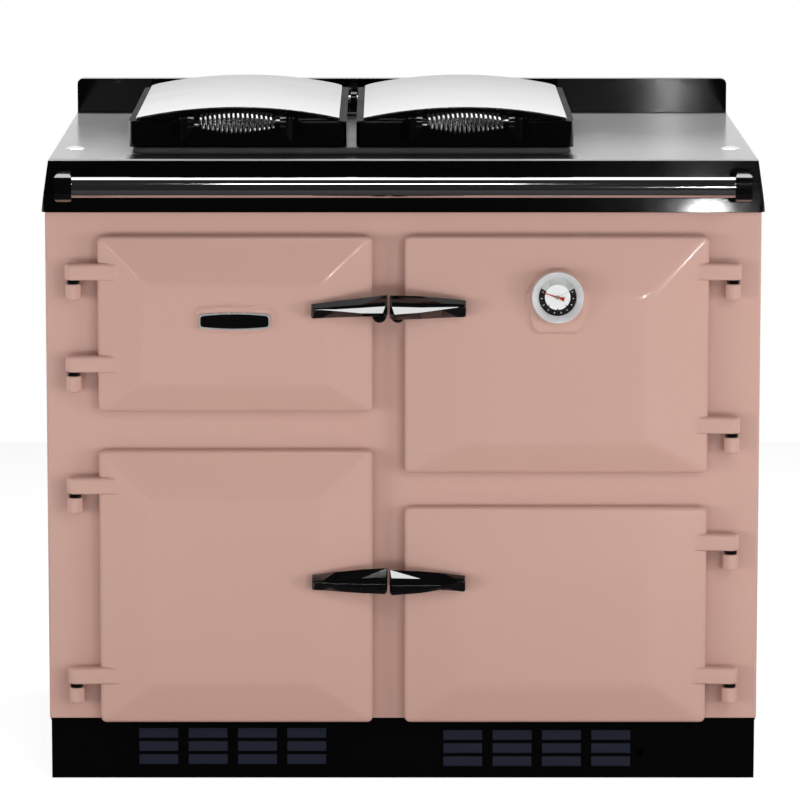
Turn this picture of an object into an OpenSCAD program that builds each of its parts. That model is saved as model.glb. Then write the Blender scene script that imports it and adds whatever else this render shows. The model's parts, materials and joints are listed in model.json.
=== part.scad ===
// Cast iron range cooker: four enamelled doors, two insulated lids over one long hotplate.
// Origin: centre of the base, on the floor. +X to the right, +Y to the back, +Z up. Millimetres.

/* [Body] */
// Width of the enamelled front plate
body_w = 978; // [900:1:1100]
// Depth of the body, from the front plate's face to the back panel's face
body_d = 616; // [590:1:680]
// Height of the cooking deck above the floor
hob_h = 868; // [855:1:900]
// Height of the plinth
plinth_h = 90; // [70:1:100]
// How far the plinth front stands behind the front plate
plinth_recess = 14; // [6:1:30]
// Thickness of the front plate casting
plate_t = 8; // [6:0.5:12]
// Thickness of the folded steel panels
sheet_t = 2; // [1.5:0.1:3]

/* [Top plate] */
// How far the skirt's foot passes the front plate, each side
top_over = 4.5; // [3:0.5:10]
// Height of the skirt, deck included
skirt_h = 72; // [60:1:90]
// How far the skirt flares out from its top to its foot
skirt_flare = 9.5; // [4:0.5:14]
// How far the skirt's foot stands in front of the front plate
skirt_over = 8; // [6:0.5:14]
// Thickness of the deck
deck_t = 9; // [7:0.5:12]
// Height of the splashback above the deck
splash_h = 51; // [30:1:80]
// Thickness of the splashback
splash_t = 16; // [12:1:20]
// Diameter of the plugs near the front corners
plug_d = 29; // [20:1:34]
// Distance of the plugs from the skirt's front
plug_back = 135; // [120:1:160]

/* [Hand rail] */
// Diameter of the rail
rail_d = 28; // [20:1:32]
// Distance from the skirt's foot to the rail's axis
rail_out = 55; // [45:1:70]
// Depth of the rail's axis below the deck
rail_drop = 31; // [26:1:38]
// Distance of the end brackets from the ends of the skirt
rail_inset = 23.5; // [20:0.5:60]
// Width of an end bracket
rail_bracket_w = 23; // [18:1:30]
// Height of an end bracket
rail_bracket_h = 38; // [34:1:44]

/* [Hotplate and lids] */
// Offset of the hotplate's centre from the middle of the deck
hotplate_x = -71; // [-110:1:40]
// Width of one lid frame
lid_w = 299; // [260:1:310]
// Distance of the lid rod's axis in front of the splashback
rod_back = 61; // [48:1:90]
// Gap between the two lids
lid_gap = 13.5; // [12:0.5:20]
// Distance from the skirt's foot to the lid's front
lid_back = 66; // [60:1:80]
// Height of a lid frame
lid_frame_h = 36; // [30:1:44]
// Rise of the lid cover from its long edges to its crown
lid_crown = 15; // [8:0.5:22]
// Diameter of the rope seal round the hotplate
rope_d = 10; // [8:0.5:12]
// Thickness of the chrome cover
cover_t = 2; // [1.5:0.1:3]
// Largest opening angle of a lid
lid_open = 78; // [60:1:80]

/* [Coil handles] */
// Length of the wound part
coil_len = 102; // [80:1:120]
// Diameter of the wire
coil_wire = 3; // [2.4:0.1:3.6]
// Number of turns
coil_turns = 16; // [10:1:18]
// Radius to the wire's centre in the middle of the coil
coil_r_mid = 13; // [10:0.5:15]
// Radius to the wire's centre at the ends of the coil
coil_r_end = 7; // [6:0.5:8]
// Distance from the lid's front to the coil's axis
coil_out = 25; // [21:1:32]

/* [Doors] */
// Distance of the doors' outer edges from the sides of the front plate
door_inset = 72; // [64:1:84]
// Middle of the gap between the left and right doors
divide_x = -20; // [-60:1:20]
// Width of the gap between the left and right doors
door_gap = 44; // [42:1:60]
// Distance from the skirt's foot to the tops of the upper doors
door_drop = 32; // [26:1:46]
// How far the feet of the lower doors hang over the plinth
door_over = 3; // [0:1:8]
// Height of the control door
control_door_h = 242; // [225:1:259]
// Height of the main oven door
main_door_h = 327; // [314:1:339]
// Gap between the control door and the burner door
left_gap = 54; // [40:1:80]
// Gap between the main and lower oven doors
right_gap = 48; // [36:1:70]
// How far a door laps over its opening
door_lap = 20; // [16:1:26]
// Gap between a closed door and the front plate
door_seat = 3; // [2:0.5:4]
// Thickness of the door casting at its edge
door_rim_t = 14; // [10:1:18]
// Rise of the door's flat field above its edge
door_raise = 20; // [12:1:26]
// Radius of the door's corners
door_corner = 8; // [4:1:14]
// Depth of the door lining
lining_d = 25; // [18:1:30]
// Gap between a lining and its opening
lining_gap = 6; // [5:0.5:9]
// Largest opening angle of a door
door_open = 115; // [90:1:120]

/* [Hinges] */
// Distance from the front plate to the hinge axis
hinge_out = 14.5; // [13:0.5:18]
// Distance of the hinge axis beyond the door's edge
hinge_side = 33; // [28:1:38]
// Thickness of a hinge arm
arm_t = 23; // [20:1:25]
// Height of a hinge arm
arm_h = 22.5; // [20:0.5:30]
// Distance from a door's top to the middle of its upper arm
arm_from_top = 48; // [40:1:60]
// Distance from a door's foot to the middle of its lower arm
arm_from_foot = 67; // [55:1:75]
// Diameter of a hinge pin
pin_d = 10; // [8:0.5:12]
// Diameter of a hinge cup
cup_d = 21; // [18:0.5:24]
// Height of a hinge cup
cup_h = 23; // [16:1:26]

/* [Door handles] */
// Distance from the upper doors' tops to their handles
upper_handle_down = 95.5; // [80:0.5:110]
// Distance from the lower oven door's top to the lower handles
lower_handle_down = 97; // [85:1:115]
// Length of a handle from its pivot to its tip
handle_tip = 53; // [40:1:60]
// Distance of a handle's pivot from the door's free edge
handle_in = 30; // [26:1:34]
// Gap between the ends of two facing handles
handle_gap = 3; // [2:0.5:5]
// Diameter of a handle's pivot
pivot_d = 10; // [8:0.5:12]
// Diameter of a catch stud
stud_d = 20; // [16:1:22]
// Largest turn of a handle
handle_open = 22; // [15:1:25]

/* [Gauge and badge] */
// Diameter of the gauge's bezel
gauge_d = 71; // [60:1:76]
// Distance from the main oven door's top to the gauge's centre
gauge_down = 79.5; // [72:0.5:90]
// Length of the name badge
badge_w = 97; // [80:1:110]
// Height of the name badge
badge_h = 24; // [18:1:30]
// Distance from the control door's top to the badge's centre
badge_down = 113; // [105:1:125]

/* [Plinth louvres] */
// Width of one louvre
louvre_w = 54; // [40:1:60]
// Height of one louvre
louvre_h = 13; // [10:0.5:15]
// Distance between the louvre columns
louvre_pitch_x = 68.5; // [64:0.5:75]
// Distance between the louvre rows
louvre_pitch_z = 18.7; // [17:0.1:20]
// How far a louvre stands out
louvre_out = 3.5; // [2:0.5:5]

/* [Ovens and boiler] */
// Thickness of the oven castings
oven_wall = 8; // [5:0.5:10]
// Depth of the oven cavities
oven_d = 430; // [380:1:450]
// Diameter of the flue spigot
flue_d = 125; // [100:1:130]
// Distance of the flue spigot's axis below the skirt's foot
flue_down = 96; // [85:1:135]
// Diameter of the boiler's tapped sockets, less their thread
tapping_d = 30.3; // [24:0.1:32]
// Diameter of a control knob
knob_d = 38; // [30:1:44]

/* [Hidden] */
$fn = 48;

enamel = "rosybrown";
black = "black";
chrome = "silver";
iron = "dimgray";
steel = "lightsteelblue";

clr = 0.3;         // gap between pieces that are set close together
run = 0.05;        // radial clearance of a turning pin
cut = 1;           // how far a cutting shape runs past what it cuts
LEFT = -1;
RIGHT = 1;

// Places along Y and Z that the pieces share
face_y = -body_d / 2;              // front of the front plate
plate_y = face_y + plate_t;        // back of the front plate
back_y = body_d / 2;               // back of the back panel
skirt_y = face_y - skirt_over;     // foot of the skirt
back_over = 5;                     // how far the top plate passes the back panel
top_w = body_w + 2 * top_over;
top_back_y = back_y + back_over;
skirt_z = hob_h - skirt_h;
seat_z = skirt_z + 4;              // top of the front plate and panels
deck_z = hob_h - deck_t;
splash_y = top_back_y - splash_t;

// Doors: 0 control, 1 burner, 2 main oven, 3 lower oven
door_top_z = skirt_z - door_drop;
door_foot_z = plinth_h - door_over;
control_foot_z = door_top_z - control_door_h;
main_foot_z = door_top_z - main_door_h;
door_foot = [control_foot_z, door_foot_z, main_foot_z, door_foot_z];
door_top = [door_top_z, control_foot_z - left_gap, door_top_z, main_foot_z - right_gap];
upper_handle_z = door_top_z - upper_handle_down;
lower_handle_z = door_top[3] - lower_handle_down;
door_handle_z = [upper_handle_z, lower_handle_z, upper_handle_z, lower_handle_z];
flue_z = skirt_z - flue_down;
// Droop of each handle at rest, in degrees
handle_tilt = [5, 2.5, 2.5, 2.5];
// Widths of a door's bevel: top, foot, hinge side above and below, free side above and below
door_bevel = [[65, 42, 69, 62, 78, 56], [67, 60, 67, 80, 75, 80],
  [89, 46, 88, 78, 88, 80], [86, 57, 82, 72, 82, 74]];
door_outer_x = body_w / 2 - door_inset;
function side(i) = i < 2 ? LEFT : RIGHT;
function hinge_edge(i) = side(i) * door_outer_x;
function free_edge(i) = divide_x + side(i) * door_gap / 2;
function left_edge(i) = min(hinge_edge(i), free_edge(i));
function right_edge(i) = max(hinge_edge(i), free_edge(i));
function door_mid_x(i) = (hinge_edge(i) + free_edge(i)) / 2;
hinge_x = door_outer_x + hinge_side;
hinge_y = face_y - hinge_out;
door_back_y = face_y - door_seat;
rim_y = door_back_y - door_rim_t;
field_y = rim_y - door_raise;
function arm_z(i) = [door_top[i] - arm_from_top, door_foot[i] + arm_from_foot];
ring_h = 5;                        // black ring between arm and cup
ring_d = cup_d - 3;
function cup_top(i) = [for (z = arm_z(i)) z - arm_h / 2 - ring_h - 2 * clr];

// Handles
lever_back_y = field_y - 4;        // back of the lever bars
lever_t = 21;                      // thickness of a lever, back to front
// Height of each latch end, and its middle above the pivot; the lower levers hide their studs
lever_latch_h = [27, 34.5, 27, 34.5];
lever_latch_z = [0, -1.85, 0, -1.85];
lever_tip_h = 20;                  // height of the tip
function pivot_x(i) = free_edge(i) + side(i) * handle_in;
handle_latch = handle_in + door_gap / 2 - handle_gap / 2;
stud_in = stud_d / 2 + handle_gap / 2 + 1;   // a stud's axis from the middle of the gap
stud_drop = [10.5, 8, 10.5, 8];    // a stud's axis below its handle's pivot
function stud_x(i) = divide_x + side(i) * stud_in;

// Lids
lid_front_y = skirt_y + lid_back;
rod_y = splash_y - rod_back;
lid_rear_y = rod_y - 15;           // rear edge of the lid frames, in front of the rod
lid_d = lid_rear_y - lid_front_y;
lid_lift = 10;                     // foot of a lid frame above the deck
lid_z = hob_h + lid_lift;
lid_top_z = lid_z + lid_frame_h;
lid_wall = 10;
function lid_x(s) = hotplate_x + s * (lid_w + lid_gap) / 2;
cover_in = 6;                      // cover's front edge behind the frame's
cover_side = 10;                   // cover's long edges inside the frame's
cover_w = lid_w - 2 * cover_side;
cover_d = lid_d - 2 * cover_in;
cover_z = lid_top_z + 4;           // long edges of the cover
cover_r = (pow(cover_w / 2, 2) + pow(lid_crown, 2)) / (2 * lid_crown);
rod_d = 10;
rod_z = lid_z + 17;
coil_y = lid_front_y - coil_out;
coil_z = lid_top_z - 1;

// Hotplate inside the rope
rope_w = 2 * lid_w + lid_gap - 19;
rope_span_d = lid_d - 11;
rope_gap = 2.5;
plate_w = rope_w - 2 * (rope_d / 2 + rope_gap);
plate_d = rope_span_d - 2 * (rope_d / 2 + rope_gap);
hotplate_y = (lid_front_y + lid_rear_y) / 2;

// A rectangle with round corners, centred
module rounded(w, h, r) {
  for (x = [-1, 1]) for (y = [-1, 1])
    translate([x * (w / 2 - r), y * (h / 2 - r)]) circle(r);
  square([w - 2 * r, h], center = true);
  square([w, h - 2 * r], center = true);
}
// Stands a flat outline in the XZ plane: its back at y, its thickness t towards the front
module stand(y, t) translate([0, y, 0]) rotate([90, 0, 0]) linear_extrude(t) children();
// A box given by two corners
module box(a, b) translate(a) cube(b - a);
// A door's outline, grown by g, in the XZ plane
module door_outline(i, g, r) translate([door_mid_x(i), (door_top[i] + door_foot[i]) / 2])
  rounded(right_edge(i) - left_edge(i) + 2 * g, door_top[i] - door_foot[i] + 2 * g, r);
// A solid through sections that hold the same number of points
module loft(sections) {
  n = len(sections[0]);
  m = len(sections);
  points = [for (s = sections) for (p = s) p];
  sides = [for (j = [0 : m - 2]) for (k = [0 : n - 1]) let (a = j * n + k, b = j * n + (k + 1) % n)
    each [[a, b, b + n], [a, b + n, a + n]]];
  ends = [for (k = [1 : n - 2]) each [[0, k + 1, k], [(m - 1) * n, (m - 1) * n + k, (m - 1) * n + k + 1]]];
  polyhedron(points, concat(sides, ends), convexity = 4);
}

tray_t = 3;
tray_in = 28;                      // tray walls inside the panels
rail_w = 40;                       // width of the tray's cross rails and of the boiler's legs
panel_x = body_w / 2 - 1.5;        // outer face of the side panels
module base_tray() color(iron) {
  x = panel_x - tray_in;
  front = face_y + tray_in;
  back = back_y - 6;
  difference() {
    box([-x, front, 0], [x, back, plinth_h - tray_t]);
    box([-x + tray_t, front + tray_t, tray_t], [x - tray_t, back - tray_t, plinth_h]);
  }
  difference() {
    box([-panel_x, face_y + 2, plinth_h - tray_t], [panel_x, back_y, plinth_h]);
    box([-x + tray_t, front + tray_t, 0], [x - tray_t, back - tray_t, plinth_h + cut]);
  }
  // cross rails under the boiler's legs and the burner
  for (y = [boiler_y[0], burner_y - rail_w / 2, boiler_y[1] - rail_w])
    box([-x + tray_t, y, tray_t], [x - tray_t, y + rail_w, plinth_h]);
}

louvre_in = 123;                   // first louvre from the left side of the front plate
louvre_top_z = 72;
louvre_group = 422;                // distance from the left group to the right one
louvre_drop = 3;                   // the right group stands this much lower
plinth_hole = [body_w / 2 - 160, 36, 5]; // place and radius of the small hole
module louvre() {
  lip = louvre_out;
  rotate([90, 0, 90]) linear_extrude(louvre_w) polygon([[0, 0], [-lip, -louvre_h + 3], [-lip, -louvre_h],
    [-lip + 1.2, -louvre_h], [-lip + 1.2, -louvre_h + 3], [0, -2.5]]);
}
module louvre_slot() box([2, -cut, -louvre_h + 1], [louvre_w - 2, sheet_t + cut, -4]);
module at_louvres() for (g = [0, 1]) for (c = [0 : 3]) for (r = [0 : 2])
  translate([-body_w / 2 + louvre_in + g * louvre_group + c * louvre_pitch_x, face_y + plinth_recess,
    louvre_top_z - g * louvre_drop - r * louvre_pitch_z]) children();
module plinth() color(black) {
  top = plinth_h - tray_t - clr;
  front = face_y + plinth_recess;
  difference() {
    box([-panel_x, front, tray_t / 2], [panel_x, back_y - clr, top]);
    box([-panel_x + sheet_t, front + sheet_t, -cut], [panel_x - sheet_t, back_y + cut, top + cut]);
    at_louvres() louvre_slot();
    translate([plinth_hole[0], 0, plinth_hole[1]]) stand(front + sheet_t + cut, sheet_t + 2 * cut)
      circle(plinth_hole[2]);
  }
  at_louvres() louvre();
}

module openings(i, g) door_outline(i, -door_lap + g, 10);
collar_t = 6;                      // casting lip round the two heat-side openings
collar_d = 12;
module front_plate() color(enamel) {
  difference() {
    plate_blank(4);
    for (i = [0 : 3]) stand(plate_y + cut, plate_t + 2 * cut) openings(i, 0);
  }
  for (i = [0, 1]) difference() {
    stand(plate_y + collar_d, collar_d) openings(i, collar_t);
    stand(plate_y + collar_d + cut, collar_d + 2 * cut) openings(i, 0);
  }
}
module plate_blank(r) intersection() {
  box([-body_w / 2, face_y, plinth_h], [body_w / 2, plate_y, seat_z]);
  translate([0, face_y + body_w / 2, plinth_h]) linear_extrude(seat_z) rounded(body_w, body_w, r);
}

module side_panels() color(enamel) for (s = [-1, 1]) {
  x = [s * panel_x, s * (panel_x - sheet_t)];
  box([min(x), plate_y, plinth_h], [max(x), back_y - sheet_t, seat_z]);
}

boiler_mid_x = door_mid_x(0);
boiler_half = (right_edge(0) - left_edge(0)) / 2 - 31.5;
boiler_x = [boiler_mid_x - boiler_half, boiler_mid_x + boiler_half];
boiler_y = [-110, 250];
boiler_z = [plinth_h + 125, skirt_z - 176];
tapping_x = [boiler_mid_x - 100, boiler_mid_x + 100];
tapping_z = [boiler_z[0] + 45, boiler_z[1] - 60];
tapping_depth = 22;
socket_r = tapping_d / 2 + 6;
socket_back_y = back_y + 4;
flue_x = boiler_mid_x;
flue_step = 4;                     // shoulder that stops the flue pipe at the back panel
module back_panel() color(steel) difference() {
  box([-panel_x, back_y - sheet_t, plinth_h], [panel_x, back_y, seat_z]);
  stand(back_y + cut, sheet_t + 2 * cut) {
    translate([flue_x, flue_z]) circle(flue_d / 2 + flue_step + 1);
    for (x = tapping_x) for (z = tapping_z) translate([x, z]) circle(socket_r + 1);
  }
}

oven_gap = 3;                      // oven cavity wider than the door opening, a side
function oven_left(i) = left_edge(i) + door_lap - oven_gap;
function oven_right(i) = right_edge(i) - door_lap + oven_gap;
function oven_foot(i) = door_foot[i] + door_lap - oven_gap;
function oven_top(i) = door_top[i] - door_lap + oven_gap;
oven_back_y = plate_y + oven_d;
flange_t = 8;
runner_t = 6;
runner_step = 62;
module oven(i, runners) color(iron) {
  w = oven_wall;
  difference() {
    union() {
      box([oven_left(i) - w, plate_y, oven_foot(i) - w],
        [oven_right(i) + w, oven_back_y + w, oven_top(i) + w]);
      box([oven_left(i) - 2 * w, plate_y, oven_foot(i) - w],
        [oven_right(i) + 2 * w, plate_y + flange_t, oven_top(i) + 2 * w]);
    }
    box([oven_left(i), plate_y - cut, oven_foot(i)], [oven_right(i), oven_back_y, oven_top(i)]);
  }
  for (n = [1 : runners]) for (s = [0, 1]) {
    x = s == 0 ? oven_left(i) : oven_right(i) - runner_t;
    z = oven_foot(i) + n * runner_step;
    box([x, plate_y + 12, z], [x + runner_t, oven_back_y - 4, z + runner_t]);
  }
}
module main_oven() oven(2, 3);
module lower_oven() oven(3, 3);

shelf_wire = 6;
shelf_bars = 12;
module shelf(i, n) {
  z = oven_foot(i) + n * runner_step + runner_t + clr + shelf_wire / 2;
  x0 = oven_left(i) + 3 + shelf_wire / 2;
  x1 = oven_right(i) - 3 - shelf_wire / 2;
  y0 = plate_y + 32;
  y1 = oven_back_y - 20;
  for (y = [y0, y1]) translate([x0, y, z]) rotate([0, 90, 0]) cylinder(h = x1 - x0, d = shelf_wire);
  for (k = [0 : shelf_bars]) translate([x0 + (x1 - x0) * k / shelf_bars, y0, z]) rotate([-90, 0, 0])
    cylinder(h = y1 - y0, d = k % shelf_bars == 0 ? shelf_wire : shelf_wire - 2);
}
module oven_shelves() color(chrome) {
  shelf(2, 1);
  shelf(2, 3);
  shelf(3, 2);
}

module insulation() color("tan") {
  right = [oven_right(2) + 2 * oven_wall + 1, panel_x - sheet_t - clr];
  box([right[0], plate_y + clr, plinth_h], [right[1], back_y - sheet_t - clr, seat_z]);
  box([oven_left(2) - oven_wall, oven_back_y + oven_wall + clr, plinth_h],
    [right[0] - clr, back_y - sheet_t - clr, seat_z]);
}

boiler_wall = 25;
flue_box = [80, 80, 76];           // half width, depth and height above the flue's axis
flue_box_t = 8;
module boiler() color(iron) {
  difference() {
    union() {
      box([boiler_x[0], boiler_y[0], boiler_z[0]], [boiler_x[1], boiler_y[1], boiler_z[1]]);
      // legs
      for (x = boiler_x) for (y = [boiler_y[0], boiler_y[1] - rail_w])
        box([x - rail_w / 2, y, plinth_h], [x + rail_w / 2, y + rail_w, boiler_z[0] + cut]);
    }
    box([boiler_x[0] + boiler_wall, boiler_y[0] - cut, boiler_z[0] - cut],
      [boiler_x[1] - boiler_wall, boiler_y[1] - 60, boiler_z[1] - boiler_wall]);
  }
  // flue box that carries the spigot
  difference() {
    box([flue_x - flue_box[0], boiler_y[1] - flue_box[1], boiler_z[1]],
      [flue_x + flue_box[0], boiler_y[1], flue_z + flue_box[2]]);
    box([flue_x - flue_box[0] + flue_box_t, boiler_y[1] - flue_box[1] + flue_box_t, boiler_z[1] + flue_box_t],
      [flue_x + flue_box[0] - flue_box_t, boiler_y[1] + cut, flue_z + flue_box[2] - flue_box_t]);
  }
}
// Round bosses welded to the boiler's back, bored for the pipes
module boiler_sockets() color(iron) for (x = tapping_x) for (z = tapping_z)
  translate([x, boiler_y[1], z]) rotate([-90, 0, 0]) difference() {
    socket_l = socket_back_y - boiler_y[1];
    cylinder(h = socket_l, r = socket_r);
    translate([0, 0, socket_l - tapping_depth]) cylinder(h = tapping_depth + cut, d = tapping_d);
  }
flue_reach = 45;                   // free length of the spigot behind the back panel
module flue_spigot() color(iron) translate([flue_x, boiler_y[1], flue_z]) rotate([-90, 0, 0]) difference() {
  inner_l = back_y - boiler_y[1];
  union() {
    cylinder(h = 8, r = flue_d / 2 + 12);
    cylinder(h = inner_l, r = flue_d / 2 + flue_step);
    cylinder(h = inner_l + flue_reach, d = flue_d);
  }
  translate([0, 0, -cut]) cylinder(h = inner_l + flue_reach + 2 * cut, d = flue_d - 10);
}

burner_x = boiler_mid_x;
burner_y = 60;
pot_r = 92;
pot_h = 112;
pot_t = 8;
pot_floor = 10;
feed = [60, -250, -150, 70];       // oil box: half width, front, back and height
module burner() color(steel) {
  translate([burner_x, burner_y, plinth_h]) {
    difference() {
      cylinder(h = pot_h, r = pot_r);
      translate([0, 0, pot_floor]) cylinder(h = pot_h, r = pot_r - pot_t);
    }
    // upright shells over the flame
    for (k = [0.26, 0.48, 0.7]) translate([0, 0, pot_floor]) rotate_extrude()
      translate([k * pot_r, 0]) square([5, (0.75 - k / 4) * pot_h]);
  }
  box([burner_x - feed[0], feed[1], plinth_h], [burner_x + feed[0], feed[2], plinth_h + feed[3]]);
  translate([burner_x, feed[2] - cut, plinth_h + 30]) rotate([-90, 0, 0])
    cylinder(h = burner_y - feed[2] + cut - pot_r + pot_t, r = 9);
}

panel_y = -240;
knob_x = [boiler_mid_x - 65, boiler_mid_x + 65];
knob_z = door_top_z - 114;
module control_panel() color(steel) {
  // the rim seats on the back of the front plate's lip
  in = door_lap - 4;
  x0 = left_edge(0) + in;
  x1 = right_edge(0) - in;
  z0 = door_foot[0] + in;
  z1 = door_top[0] - in;
  difference() {
    box([x0, plate_y + collar_d, z0], [x1, panel_y + 1.5, z1]);
    box([x0 + 1.5, plate_y - cut, z0 + 1.5], [x1 - 1.5, panel_y, z1 - 1.5]);
    for (x = knob_x) translate([x, 0, knob_z]) stand(panel_y + 3, 6) circle(3 + run);
  }
  for (x = knob_x) difference() {
    translate([x, 0, knob_z]) stand(panel_y + 41.5, 40) square(36, center = true);
    translate([x, 0, knob_z]) stand(panel_y + 14, 14) circle(3 + run);
  }
}
module knob(x) color(black) translate([x, 0, knob_z]) {
  stand(panel_y - clr, 6) circle(d = knob_d);
  stand(panel_y - clr - 6, 14) circle(d = knob_d - 6);
  stand(panel_y - clr - 18, 5) square([6, knob_d - 8], center = true);
  stand(panel_y + 12, 14) circle(3);
}

hot_lip = 12;                      // how far the hotplate laps over the deck
groove = 1;                        // depth of the rope's groove
// Skirt face at height z: the skirt leans back towards its top
function skirt_face(z) = skirt_y + skirt_flare * (z - skirt_z) / skirt_h;
module top_plate() color(black) {
  edge_r = 3;
  corner_r = 12;
  half_top = top_w / 2 - skirt_flare;
  // upper edge rounded by an arc of points
  arc = [for (a = [0 : 15 : 90]) [1 - cos(a), sin(a) - 1] * edge_r];
  side_profile = concat([[top_w / 2, skirt_z]], [for (p = arc) [half_top - p[0], hob_h + p[1]]]);
  mirrored = [for (k = [len(side_profile) - 1 : -1 : 0]) [-side_profile[k][0], side_profile[k][1]]];
  front_profile = concat([[top_back_y, skirt_z], [skirt_y, skirt_z]],
    [for (p = arc) [skirt_y + skirt_flare + p[0], hob_h + p[1]]], [[top_back_y, hob_h]]);
  difference() {
    intersection() {
      stand(top_back_y, top_back_y - skirt_y + cut) polygon(concat(side_profile, mirrored));
      translate([-top_w / 2, 0, 0]) rotate([90, 0, 90]) linear_extrude(top_w) polygon(front_profile);
      translate([0, skirt_y + top_w / 2, skirt_z]) linear_extrude(skirt_h) rounded(top_w, top_w, corner_r);
    }
    box([-body_w / 2 - clr, face_y - clr, skirt_z - cut], [body_w / 2 + clr, back_y + clr, seat_z]);
    box([-panel_x + 14, plate_y + 8, skirt_z - cut], [panel_x - 14, back_y - 14, deck_z]);
    translate([hotplate_x, hotplate_y, deck_z - cut]) linear_extrude(deck_t + 2 * cut)
      rounded(plate_w - 2 * hot_lip + 2, plate_d - 2 * hot_lip + 2, 20);
    translate([hotplate_x, hotplate_y, hob_h - groove]) linear_extrude(groove + cut) difference() {
      rounded(rope_w + rope_d + 1, rope_span_d + rope_d + 1, 25);
      rounded(rope_w - rope_d - 1, rope_span_d - rope_d - 1, 14);
    }
    for (s = [-1, 1]) translate([s * plug_x, skirt_y + plug_back, deck_z - cut])
      cylinder(h = deck_t + 2 * cut, d = plug_d - 8);
    // holes of the rail bracket studs
    for (s = [-1, 1]) translate([s * rail_bracket_x, 0, rail_z]) stand(plate_y + 20, 60) circle(4.3);
  }
}
plug_x = top_w / 2 - 39.5;         // plugs' axes in from the ends of the skirt
module top_plugs() color(chrome) for (s = [-1, 1]) translate([s * plug_x, skirt_y + plug_back, 0]) {
  dome_h = 4;
  dome_r = (pow(plug_d / 2, 2) + dome_h * dome_h) / (2 * dome_h);
  translate([0, 0, hob_h]) intersection() {
    translate([0, 0, dome_h - dome_r]) sphere(r = dome_r, $fn = 96);
    cylinder(h = dome_h + cut, d = plug_d);
  }
  translate([0, 0, deck_z]) cylinder(h = deck_t, d = plug_d - 8 - 2 * clr);
}
module splashback() color(black) {
  r = 8;
  stand(top_back_y, splash_t) translate([0, hob_h]) {
    translate([-splash_w / 2, 0]) square([splash_w, splash_h - r]);
    translate([-splash_w / 2 + r, 0]) square([splash_w - 2 * r, splash_h]);
    for (s = [-1, 1]) translate([s * (splash_w / 2 - r), splash_h - r]) circle(r);
  }
}
splash_w = top_w - 2 * skirt_flare - 4;

module hotplate() color(iron) translate([hotplate_x, hotplate_y, hob_h]) {
  flange = 4;
  below = deck_t + 18;             // how far the casting reaches below the deck's top
  linear_extrude(flange) rounded(plate_w, plate_d, 12);
  translate([0, 0, -below]) linear_extrude(below)
    rounded(plate_w - 2 * hot_lip, plate_d - 2 * hot_lip, 18);
}
// A rope laid as a rectangle with round corners, its centre line w by d
module rope_ring(w, d, thick, r) {
  for (x = [-1, 1]) for (y = [-1, 1]) translate([x * (w / 2 - r), y * (d / 2 - r), 0])
    rotate([0, 0, x > 0 ? (y > 0 ? 0 : 270) : (y > 0 ? 90 : 180)])
      rotate_extrude(angle = 90) translate([r, 0]) circle(d = thick, $fn = 24);
  for (s = [-1, 1]) {
    translate([s * w / 2, -d / 2 + r, 0]) rotate([-90, 0, 0]) cylinder(h = d - 2 * r, d = thick, $fn = 24);
    translate([-w / 2 + r, s * d / 2, 0]) rotate([0, 90, 0]) cylinder(h = w - 2 * r, d = thick, $fn = 24);
  }
}
module hotplate_rope() color("gray") translate([hotplate_x, hotplate_y, hob_h - groove + clr + rope_d / 2])
  rope_ring(rope_w, rope_span_d, rope_d, 18);

rail_z = hob_h - rail_drop;
rail_y = skirt_y - rail_out;
rail_bracket_x = top_w / 2 - rail_inset - rail_bracket_w / 2;
module rail_brackets() color(black) for (s = [-1, 1]) difference() {
  h = rail_bracket_h;
  nose = rail_y - rail_d / 2 - 4;
  union() {
    intersection() {
      translate([s * rail_bracket_x - rail_bracket_w / 2, 0, 0]) rotate([90, 0, 90])
        linear_extrude(rail_bracket_w) polygon([[skirt_face(rail_z - h / 2) - clr, rail_z - h / 2],
          [skirt_face(rail_z + h / 2) - clr, rail_z + h / 2],
          [nose + 12, rail_z + h / 2], [nose + 3, rail_z + h / 2 - 4],
          [nose, rail_z + h / 2 - 12], [nose, rail_z - h / 2 + 12], [nose + 3, rail_z - h / 2 + 4],
          [nose + 12, rail_z - h / 2]]);
      translate([s * rail_bracket_x, 0, rail_z]) stand(plate_y, 120) rounded(rail_bracket_w, h, 5);
    }
    // stud through the skirt
    translate([s * rail_bracket_x, 0, rail_z]) stand(plate_y + 16, 30) circle(4);
  }
  translate([s * (rail_bracket_x - rail_bracket_w / 2 - cut), rail_y, rail_z]) rotate([0, s * 90, 0])
    cylinder(h = 13 + cut, r = rail_d / 2 + clr);
}
module hand_rail() color(chrome) {
  half = rail_bracket_x - rail_bracket_w / 2 + 12.5;
  translate([-half, rail_y, rail_z]) rotate([0, 90, 0]) cylinder(h = 2 * half, d = rail_d);
}

// Turned cups that carry the hinge pins, each with its lug on the front plate
module hinge_cups() color(enamel) for (i = [0 : 3]) for (z = cup_top(i))
  translate([side(i) * hinge_x, hinge_y, z]) difference() {
    r = cup_d / 2;
    union() {
      rotate_extrude() polygon([[0, -cup_h], [r - 4, -cup_h], [r - 1.2, -cup_h + 1.2],
        [r, -cup_h + 4], [r, -2],
        [r - 0.6, -0.6], [r - 2, 0], [0, 0]]);
      box([-7, 0, -cup_h + 3], [7, hinge_out, -3]);
    }
    translate([0, 0, -cup_h + 4]) cylinder(h = cup_h, d = pin_d + 2 * run);
  }

module catch_studs() color(black) for (i = [0 : 3])
  translate([stud_x(i), face_y, door_handle_z[i] - stud_drop[i]]) rotate([90, 0, 0]) {
    r = stud_d / 2;
    stud_out = face_y - lever_back_y - clr;   // up to just behind the lever's back
    cylinder(h = stud_out - 12, r = r - 3);
    translate([0, 0, stud_out - 12]) rotate_extrude() polygon(concat([[0, 0], [r, 0], [r, 12 - r / 2]],
      [for (a = [15 : 15 : 90]) [r * cos(a), 12 - r / 2 + r / 2 * sin(a)]]));
  }

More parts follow.
